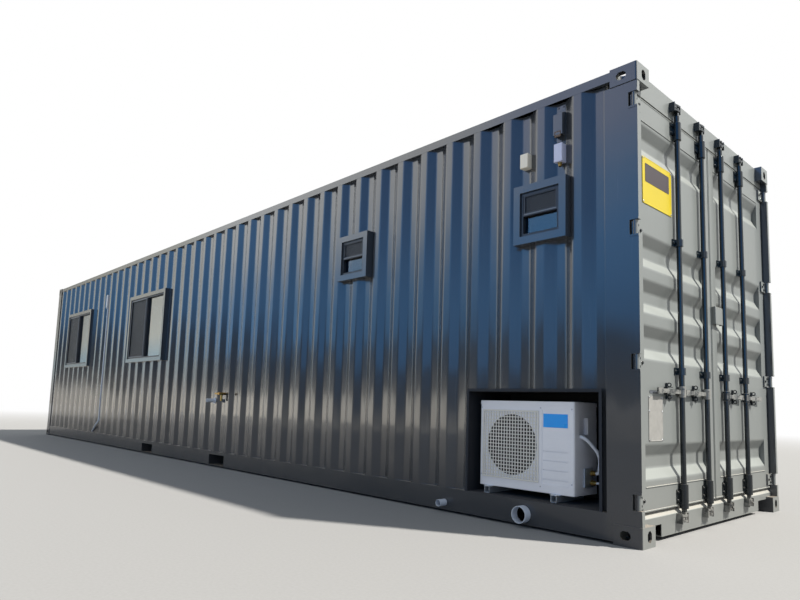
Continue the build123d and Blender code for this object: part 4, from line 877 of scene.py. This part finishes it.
FAN_X = 5.14
FAN_Z = 0.522
WELL_RADIUS = 0.2045
fan_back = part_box("ac_fan")[1].y
unit_low, unit_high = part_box("ac_housing")


def well_drum(name, front, back):
    return drum(name, (FAN_X, front, FAN_Z), (FAN_X, back, FAN_Z), WELL_RADIUS, 64)


ring = well_drum("fan_ring", unit_low.y + 0.0005, fan_back - 0.004)
round_off(tunnel(ring, Y, 0.006), 0.004, 3, below(Y, unit_low.y + 0.001))
settle(ring, "fan_plastic", finish="ring_plastic")
coil = well_drum("condenser_coil", fan_back - 0.005, fan_back - 0.001)
settle(round_off(coil, 0.001, 1), "fan_plastic", finish="coil_fins")
print("ring", len(ring.data.polygons))

# %% [markdown]
# The casing is folded sheet with a lid that laps over it like a shallow box. The lid is a box with
# its underside inset and pushed up, so that it is a real cap with thin walls, and the lap throws the
# fine line that shows under its edge. The badge stays a bare plate in its recessed panel.

# %% Casing and lid
LID_LAP = 0.026
LID_SKIN = 0.002
casing = rework("ac_housing")
round_off(casing, 0.005, 3, below(Z, unit_low.z + 0.001), 60, 120)
settle(casing, "ac_casing", "ac_housing")
lid = block("casing_lid", (unit_low.x - LID_SKIN, unit_low.y - LID_SKIN, unit_high.z - LID_LAP),
            (unit_high.x + LID_SKIN, unit_high.y + LID_SKIN, unit_high.z + LID_SKIN))
round_off(lid, 0.013, 4, spans(Z, 0.01))
round_off(lid, 0.004, 3, above(Z, unit_high.z))
inset_side(lid, (0, 0, -1), LID_SKIN)
bpy.ops.transform.translate(value=(0, 0, LID_LAP))
smooth(lid)
settle(lid, "ac_casing")
print("lid faces", len(lid.data.polygons))

# %% Badge, knob and screws
PANEL_FACE = unit_low.y + 0.004
badge = block("bare_badge", (5.394, PANEL_FACE - 0.0025, 0.650), (5.577, PANEL_FACE + 0.0005, 0.738))
round_off(badge, 0.0012)
inset_side(badge, (0, -1, 0), 0.003, 0.0004)
smooth(badge)
settle(badge, "ac_casing", finish="badge_blue")

knob = drum("side_knob", (unit_low.x - 0.020, -1.105, 0.648), (unit_low.x, -1.105, 0.648), 0.015, 24)
settle(round_off(knob, 0.004, 3), "ac_casing", finish="cream_plastic")

screw = drum("casing_screw", (0, -0.002, 0), (0, 0, 0), 0.0052, 12)
inset_side(screw, (0, -1, 0), 0.0022)
bpy.ops.transform.translate(value=(0, 0.0012, 0))
smooth(screw)
screws = []
for x, levels in ((4.880, (0.300, 0.770)), (5.375, (0.265, 0.775)), (5.608, (0.300, 0.770))):
    screws += [copy_at(screw, (x, unit_low.y, z)) for z in levels]
bpy.data.objects.remove(screw)
settle(join("casing_screws", screws), "ac_steel", finish="bright_zinc")
print("screws", len(screws))

# %% [markdown]
# The unit stands on two lengths of square tube that show their open ends, with a tab of the casing
# bolted down on each. A box becomes a tube when its two ends are inset and bridged through.

# %% Feet
FOOT_HALF = 0.022
low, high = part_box("ac_feet")
feet = []
for x in (4.950, 5.489):
    foot = block("foot_tube", (x - FOOT_HALF, low.y, low.z), (x + FOOT_HALF, high.y, high.z - 0.002))
    round_off(tunnel(foot, Y, 0.0045), 0.0042, 3, spans(Y, 0.1))
    tab = block("foot_tab", (x - 0.030, low.y + 0.002, high.z - 0.003),
                (x + 0.042, low.y + 0.052, high.z + 0.001))
    feet += [foot, round_off(tab, 0.001, 1)]
settle(join("mounting_feet", feet), "ac_steel", "ac_feet")
print("feet made")

# %% [markdown]
# Copper pipes in pale lagging leave the side of the casing and loop back to two brass valves on a
# folded plate. They are stiff, so they are pipes and not cords: one smooth line each with a round
# section. A valve is three drums: a hexagonal nut, a narrower neck and a spindle across them.

# %% Lagged pipe and service valves
lagging = tube("lagged_pipe", [
    (5.610, -1.076, 0.604), (5.652, -1.070, 0.594), (5.682, -1.032, 0.548), (5.708, -0.995, 0.492),
    (5.712, -0.985, 0.440), (5.704, -0.985, 0.398), (5.694, -0.968, 0.367), (5.668, -0.965, 0.366)], 0.0115)
return_pipe = tube("return_pipe", [
    (5.668, -0.965, 0.305), (5.702, -0.960, 0.305), (5.716, -0.925, 0.315), (5.712, -0.830, 0.330),
    (5.700, -0.724, 0.335)], 0.0085)
settle(join("lagged_pipes", [lagging, return_pipe]), "grey_plastic", "ac_pipes", finish="pipe_lagging")

low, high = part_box("ac_valves")
plate = block("valve_plate", low, (low.x + 0.012, high.y, high.z))
settle(round_off(plate, 0.004, 3), "ac_steel", "ac_valves")
VALVE_Y = -0.965
VALVE_LEVELS = (0.305, 0.366)
valves = []
for z in VALVE_LEVELS:
    nut = drum("valve_nut", (5.636, VALVE_Y, z), (5.662, VALVE_Y, z), 0.0175, 6)
    neck = drum("valve_neck", (5.660, VALVE_Y, z), (5.674, VALVE_Y, z), 0.0125, 24)
    spindle = drum("valve_spindle", (5.650, VALVE_Y - 0.025, z), (5.650, VALVE_Y, z), 0.009, 6)
    valves += [round_off(nut, 0.002), round_off(neck, 0.0015), round_off(spindle, 0.0015)]
settle(join("service_valves", valves), "ac_steel", finish="valve_brass")
print("pipes and valves made")

# %% [markdown]
# The door gear is forged and bolted, and its small parts tell its size: bolt heads on every bearing,
# long sleeves at the two ends of each rod, eyes on the catches for a seal. One bolt head is shaped
# with its washer and copied to every place. They are real pieces, because they stand proud.

# %% Bolts, sleeves and eyes of the door gear
LEAVES = (("left_door", -1), ("right_door", 1))
LEAF_FACE = 6.043
ROD_X = 6.069
ROD_Y = (0.590, 0.180)
SLEEVES = ((0.171, 0.322), (2.594, 2.717))
MID_BEARINGS = (1.035, 1.885)
HINGES = (0.254, 1.057, 1.861, 2.664)
HINGE_BOLTS = ((1.150, 0.024), (1.150, -0.024), (1.110, 0))
CATCH_SHIFT = 0.183

washer = drum("washer", (0, 0, 0), (0.0016, 0, 0), 0.0115, 20)
head = drum("bolt_head", (0.0012, 0, 0), (0.0078, 0, 0), 0.0088, 6)
hex_bolt = join("hex_bolt", [round_off(washer, 0.0005, 1), round_off(head, 0.0012)])
eye = drum("seal_eye", (0, -0.004, 0), (0, 0.004, 0), 0.0145, 24)
round_off(tunnel(eye, Y, 0.0065), 0.0018)


def bolts_at(shift, middle, reach, levels):
    """Bolts on both sides of a middle line, at each height."""
    return [copy_at(hex_bolt, (LEAF_FACE + shift, middle + y, z)) for y in (-reach, reach) for z in levels]


def catch_parts(y, side):
    """Two eyes, the lug that carries them and the tongue beside it."""
    lug = block("catch_lug", (LEAF_FACE, y - 0.004, HANDLE_Z - 0.052),
                (LEAF_FACE + 0.011, y + 0.004, HANDLE_Z + 0.052))
    tongue = block("catch_tongue", (LEAF_FACE, y - side * 0.062, HANDLE_Z - 0.060),
                   (LEAF_FACE + 0.006, y - side * 0.038, HANDLE_Z - 0.012))
    eyes = [copy_at(eye, (LEAF_FACE + 0.024, y, HANDLE_Z + rise)) for rise in (0.0385, -0.0385)]
    return eyes + [round_off(lug, 0.002), round_off(tongue, 0.004, 3)]


for body, side in LEAVES:
    bolts, sleeves, catches = [], [], []
    for rod_y in ROD_Y:
        middle = side * rod_y
        for low, high in SLEEVES:
            sleeve = drum("bearing_sleeve", (ROD_X, middle, low), (ROD_X, middle, high), 0.0268, 32)
            sleeves.append(round_off(tunnel(sleeve, Z, 0.0074), 0.0022))
            wing_low = min(low + 0.033, 2.630)
            bolts += bolts_at(0.006, middle, 0.044, (wing_low + 0.016, wing_low + 0.068))
        for level in MID_BEARINGS:
            bolts += bolts_at(0.006, middle, 0.042, (level,))
        catches += catch_parts(side * (rod_y + CATCH_SHIFT), side)
    for level in HINGES:
        for y, rise in HINGE_BOLTS:
            bolts.append(copy_at(hex_bolt, (LEAF_FACE + 0.012, side * y, level + rise)))
    for kind, pieces in (("_bolts", bolts), ("_sleeves", sleeves), ("_seal_eyes", catches)):
        settle(join(body + kind, pieces), "gear_paint", body=body)
bpy.data.objects.remove(hex_bolt)
bpy.data.objects.remove(eye)
print("door gear detail made")

# %% [markdown]
# Two plates are riveted to the left leaf: a yellow sign with a darker field, and a pale metal plate
# with a dark strip over it. All are left bare, with only a rim pressed round the edge. The welds
# that close the corrugated panel in its frame show as thin raised lines across each leaf.

# %% Bare plates and weld lines
for name, finish, back, front, low, high, rim in (
        ("bare_sign", "sign_yellow", 0, 0.004, (-1.057, 2.056), (-0.645, 2.356), 0.004),
        ("sign_panel", "sign_field", 0.003, 0.0045, (-1.022, 2.200), (-0.682, 2.318), 0.003),
        ("bare_data_plate", "plate_metal", 0, 0.003, (-1.013, 0.594), (-0.824, 0.866), 0.004),
        ("dark_strip", "strip_grey", 0, 0.002, (-0.996, 0.881), (-0.874, 0.901), 0.002)):
    plate = block(name, (LEAF_FACE + back, *low), (LEAF_FACE + front, *high))
    round_off(plate, 0.008, 4, spans(X, 0.001))
    inset_side(plate, (1, 0, 0), rim)
    bpy.ops.mesh.inset(thickness=0.0012, depth=-0.0008)
    smooth(plate)
    settle(plate, "container_paint", finish=finish, body="left_door")

rivet = drum("plate_rivet", (-0.001, 0, 0), (0.0022, 0, 0), 0.0055, 16)
round_off(rivet, 0.0018, 3)
pins = [copy_at(rivet, (LEAF_FACE + 0.004, y, z)) for y in (-1.047, -0.655) for z in (2.066, 2.346)]
pins += [copy_at(rivet, (LEAF_FACE + 0.003, y, z)) for y in (-1.005, -0.832) for z in (0.602, 0.775, 0.858)]
bpy.data.objects.remove(rivet)
settle(join("plate_rivets", pins), "gear_paint", finish="bright_zinc", body="left_door")

WELD_OUTER, WELD_INNER = 1.058, 0.100
WELD_LEVELS = (0.326, 2.583)
for body, side in LEAVES:
    near, far = sorted((side * WELD_OUTER, side * WELD_INNER))
    welds = [drum("weld_bead", (LEAF_FACE, near, z), (LEAF_FACE, far, z), 0.0042, 12) for z in WELD_LEVELS]
    welds = [round_off(weld, 0.002) for weld in welds]
    settle(join(body + "_welds", welds), "container_paint", finish="door_paint", body=body)
print("plates and welds made")

# %% [markdown]
# Rolled and pressed sections have round corners, and the castings are sand castings whose edges are
# rounder still. On the tall post by the doors that corner is the brightest upright line there is, so
# only these long outer edges are rounded, and the small cut edges stay as they are. The front of the
# sill slopes: its corner is cut back at 45 degrees first, and then the two new edges are rounded.

# %% Round corners of posts, castings and sill
SILL_FACE = 6.040
SILL_TOP = 0.165
POST_FACE = 6.08
POST_SIDE = 1.205
sill = rework("door_sill")
pick_edges(sill, 60, 120, every(above(X, SILL_FACE), above(Z, SILL_TOP), spans(Y, 0.001)))
bpy.ops.mesh.bevel(offset=0.026, segments=1, clamp_overlap=False)
smooth(sill)
round_off(sill, 0.003, 2, every(above(X, SILL_FACE - 0.025), spans(Y, 1)), 30, 60)
settle(sill, "container_paint", "door_sill", finish="door_paint")
posts = rework("door_end_posts")
outer = every(lambda start, end: min(abs(start.y), abs(end.y)) > POST_SIDE,
              above(X, POST_FACE), spans(Z, 0.05))
round_off(posts, 0.009, 4, outer, 60, 120)
settle(posts, "container_paint", "door_end_posts")
castings = rework("corner_castings")
round_off(castings, 0.007, 3, lambda start, end: (start - end).length > 0.10, 80, 100)
settle(castings, "container_paint", "corner_castings")
box_cover = rework("lock_box")
round_off(box_cover, 0.004, 3, above(X, LEAF_FACE + 0.020), 80, 100)
settle(box_cover, "container_paint", "lock_box", finish="door_paint", body="right_door")
print("corners rounded, sill faces", len(sill.data.polygons))

# %% [markdown]
# The fittings on the long wall are small bought parts: two moulded boxes with lids, one with a brass
# gland, and a vent cowl on flanges. Each sits on the bottom of a trough, so they share one plane at
# the back. A lid could be cut into the box, but a second box that laps over it throws a real line.

# %% Junction boxes and vent cowl
TROUGH = -1.176
LID_OVER = 0.0012
GLAND = (5.553, -1.206)


def lidded_box(name, low, high):
    """A small junction box: a round-edged body with a lid that laps over its front."""
    body = block(name, low, high)
    round_off(body, 0.005, 3, below(Y, high[1] - 0.001))
    lid_high = (high[0] + LID_OVER, low[1] + 0.013, high[2] + LID_OVER)
    cover = block(name + "_lid", [edge - LID_OVER for edge in low], lid_high)
    round_off(cover, 0.0055, 3, below(Y, lid_high[1] - 0.001))
    return join(name, [body, cover])


cream_box = lidded_box("cream_junction_box", (5.250, -1.232, 2.427), (5.311, TROUGH, 2.526))
settle(cream_box, "cream_plastic", "cream_box")
pale_box = lidded_box("pale_junction_box", (5.523, -1.233, 2.398), (5.583, TROUGH, 2.522))
settle(pale_box, "grey_plastic", "grey_box", finish="pale_plastic")
nut = drum("gland_nut", (*GLAND, 2.399), (*GLAND, 2.389), 0.014, 6)
neck = drum("gland_neck", (*GLAND, 2.391), (5.556, -1.209, 2.370), 0.0105, 24)
gland = [round_off(nut, 0.0015), round_off(tunnel(neck, Z, 0.003), 0.001)]
settle(join("brass_gland", gland), "grey_plastic", finish="valve_brass")

outer = below(Y, TROUGH - 0.001)
cowl_parts = [round_off(rework("wall_vent"), 0.004, 3, outer, 60, 120)]
for low, high in ((2.768, 2.806), (2.532, 2.570)):
    flange = block("vent_flange", (5.513, TROUGH - 0.004, low), (5.579, TROUGH, high))
    cowl_parts.append(round_off(flange, 0.0015, test=outer))
settle(join("vent_cowl", cowl_parts), "container_paint", "wall_vent")
mouth = block("vent_mouth", (5.522, -1.2275, 2.572), (5.569, -1.218, 2.612))
round_off(mouth, 0.002)
inset_side(mouth, (0, -1, 0), 0.004, -0.004)
smooth(mouth)
settle(mouth, "container_paint", finish="vent_brown")
pins = []
for x in (5.527, 5.565):
    for z in (2.794, 2.545):
        pin = drum("vent_screw", (x, TROUGH - 0.0075, z), (x, TROUGH - 0.0035, z), 0.0075, 6)
        pins.append(round_off(pin, 0.001, 1))
settle(join("vent_screws", pins), "container_paint", finish="gear_paint")
print("boxes and cowl made")

# %% [markdown]
# The insect screens sit in aluminium sashes in front of the panes. Each sash is one box inset and
# bridged through to a ring, so its corners close without joints, as on the real ones. Four saddles
# clasp the conduit from the front and hold it to the wall.

# %% Sashes and saddles
SMALL_SCREENS = (((5.293, 2.083), (5.557, 2.218)), ((3.308, 2.083), (3.572, 2.218)))
BIG_SCREENS = (((-5.082, 1.362), (-4.512, 2.218)), ((-1.922, 1.362), (-1.352, 2.218)))
SASH_FRONT, SASH_BACK = -1.2465, -1.2375
RAIL_FRONT, RAIL_BACK = -1.2495, -1.2415
SADDLE_LOW, SADDLE_HIGH = (-3.1800, -1.2045), (-3.1510, -1.177)
SADDLE_LEVELS = (2.10, 1.50, 0.95, 0.40)


def sash(low, high):
    ring = block("screen_sash", (low[0], SASH_FRONT, low[1]), (high[0], SASH_BACK, high[1]))
    return round_off(tunnel(ring, Y, 0.013), 0.0018)


small_sashes, pale_pieces = [], []
for low, high in SMALL_SCREENS:
    small_sashes.append(sash(low, high))
    rail = block("screen_rail", (low[0] + 0.004, RAIL_FRONT, low[1] - 0.005),
                 (high[0] - 0.004, RAIL_BACK, low[1] + 0.003))
    pale_pieces.append(round_off(rail, 0.0018))
pale_pieces += [sash(low, high) for low, high in BIG_SCREENS]
settle(join("dark_sashes", small_sashes), "window_aluminium", finish="dark_sash")
settle(join("screen_sashes", pale_pieces), "window_aluminium", finish="sash_metal")

saddles = []
for z in SADDLE_LEVELS:
    saddle = block("conduit_saddle", (*SADDLE_LOW, z - 0.009), (*SADDLE_HIGH, z + 0.009))
    saddles.append(round_off(saddle, 0.003))
settle(join("conduit_saddles", saddles), "ac_steel", finish="conduit_coat")
print("sashes", len(SMALL_SCREENS + BIG_SCREENS), "saddles", len(saddles))

# %% [markdown]
# Each leaf carries a folded rubber seal that was painted over with the doors shut. Its outer lip
# closes the gap to the header, the posts and the sill, so it is one ring that swings with the leaf,
# with a round bead along its top and bottom. The levers are clamped to their rods by short forged
# hubs, which are worn bright on the left leaf.

# %% Seal lips and lever hubs
LIP_LOW, LIP_HIGH = 0.180, 2.730
LIP_OUTER, LIP_INNER = 1.171, 0.0065
LIP_BACK, LIP_FRONT = 6.026, 6.0405
BEAD_X = 6.038
for body, side in LEAVES:
    near, far = sorted((side * LIP_OUTER, side * LIP_INNER))
    lip = block(body + "_seal_lip", (LIP_BACK, near, LIP_LOW), (LIP_FRONT, far, LIP_HIGH))
    seal = [round_off(tunnel(lip, X, 0.0178), 0.004, 3, above(X, 6.040))]
    for z in (LIP_LOW + 0.0085, LIP_HIGH - 0.0075):
        bead = drum("edge_bead", (BEAD_X, near + 0.004, z), (BEAD_X, far - 0.004, z), 0.0075, 16)
        seal.append(round_off(bead, 0.002))
    settle(join(body + "_seal_lip", seal), "container_paint", finish="door_paint", body=body)
for body, rod_y in (("left_outer_lock", -0.590), ("left_inner_lock", -0.180),
                    ("right_inner_lock", 0.180), ("right_outer_lock", 0.590)):
    hub = drum(body + "_hub", (ROD_X, rod_y, HANDLE_Z - 0.034), (ROD_X, rod_y, HANDLE_Z + 0.034), 0.0235, 24)
    round_off(tunnel(hub, Z, 0.0045), 0.0015)
    settle(hub, "gear_paint", finish="worn_metal" if rod_y < 0 else None, body=body)
print("seal lips and hubs made")
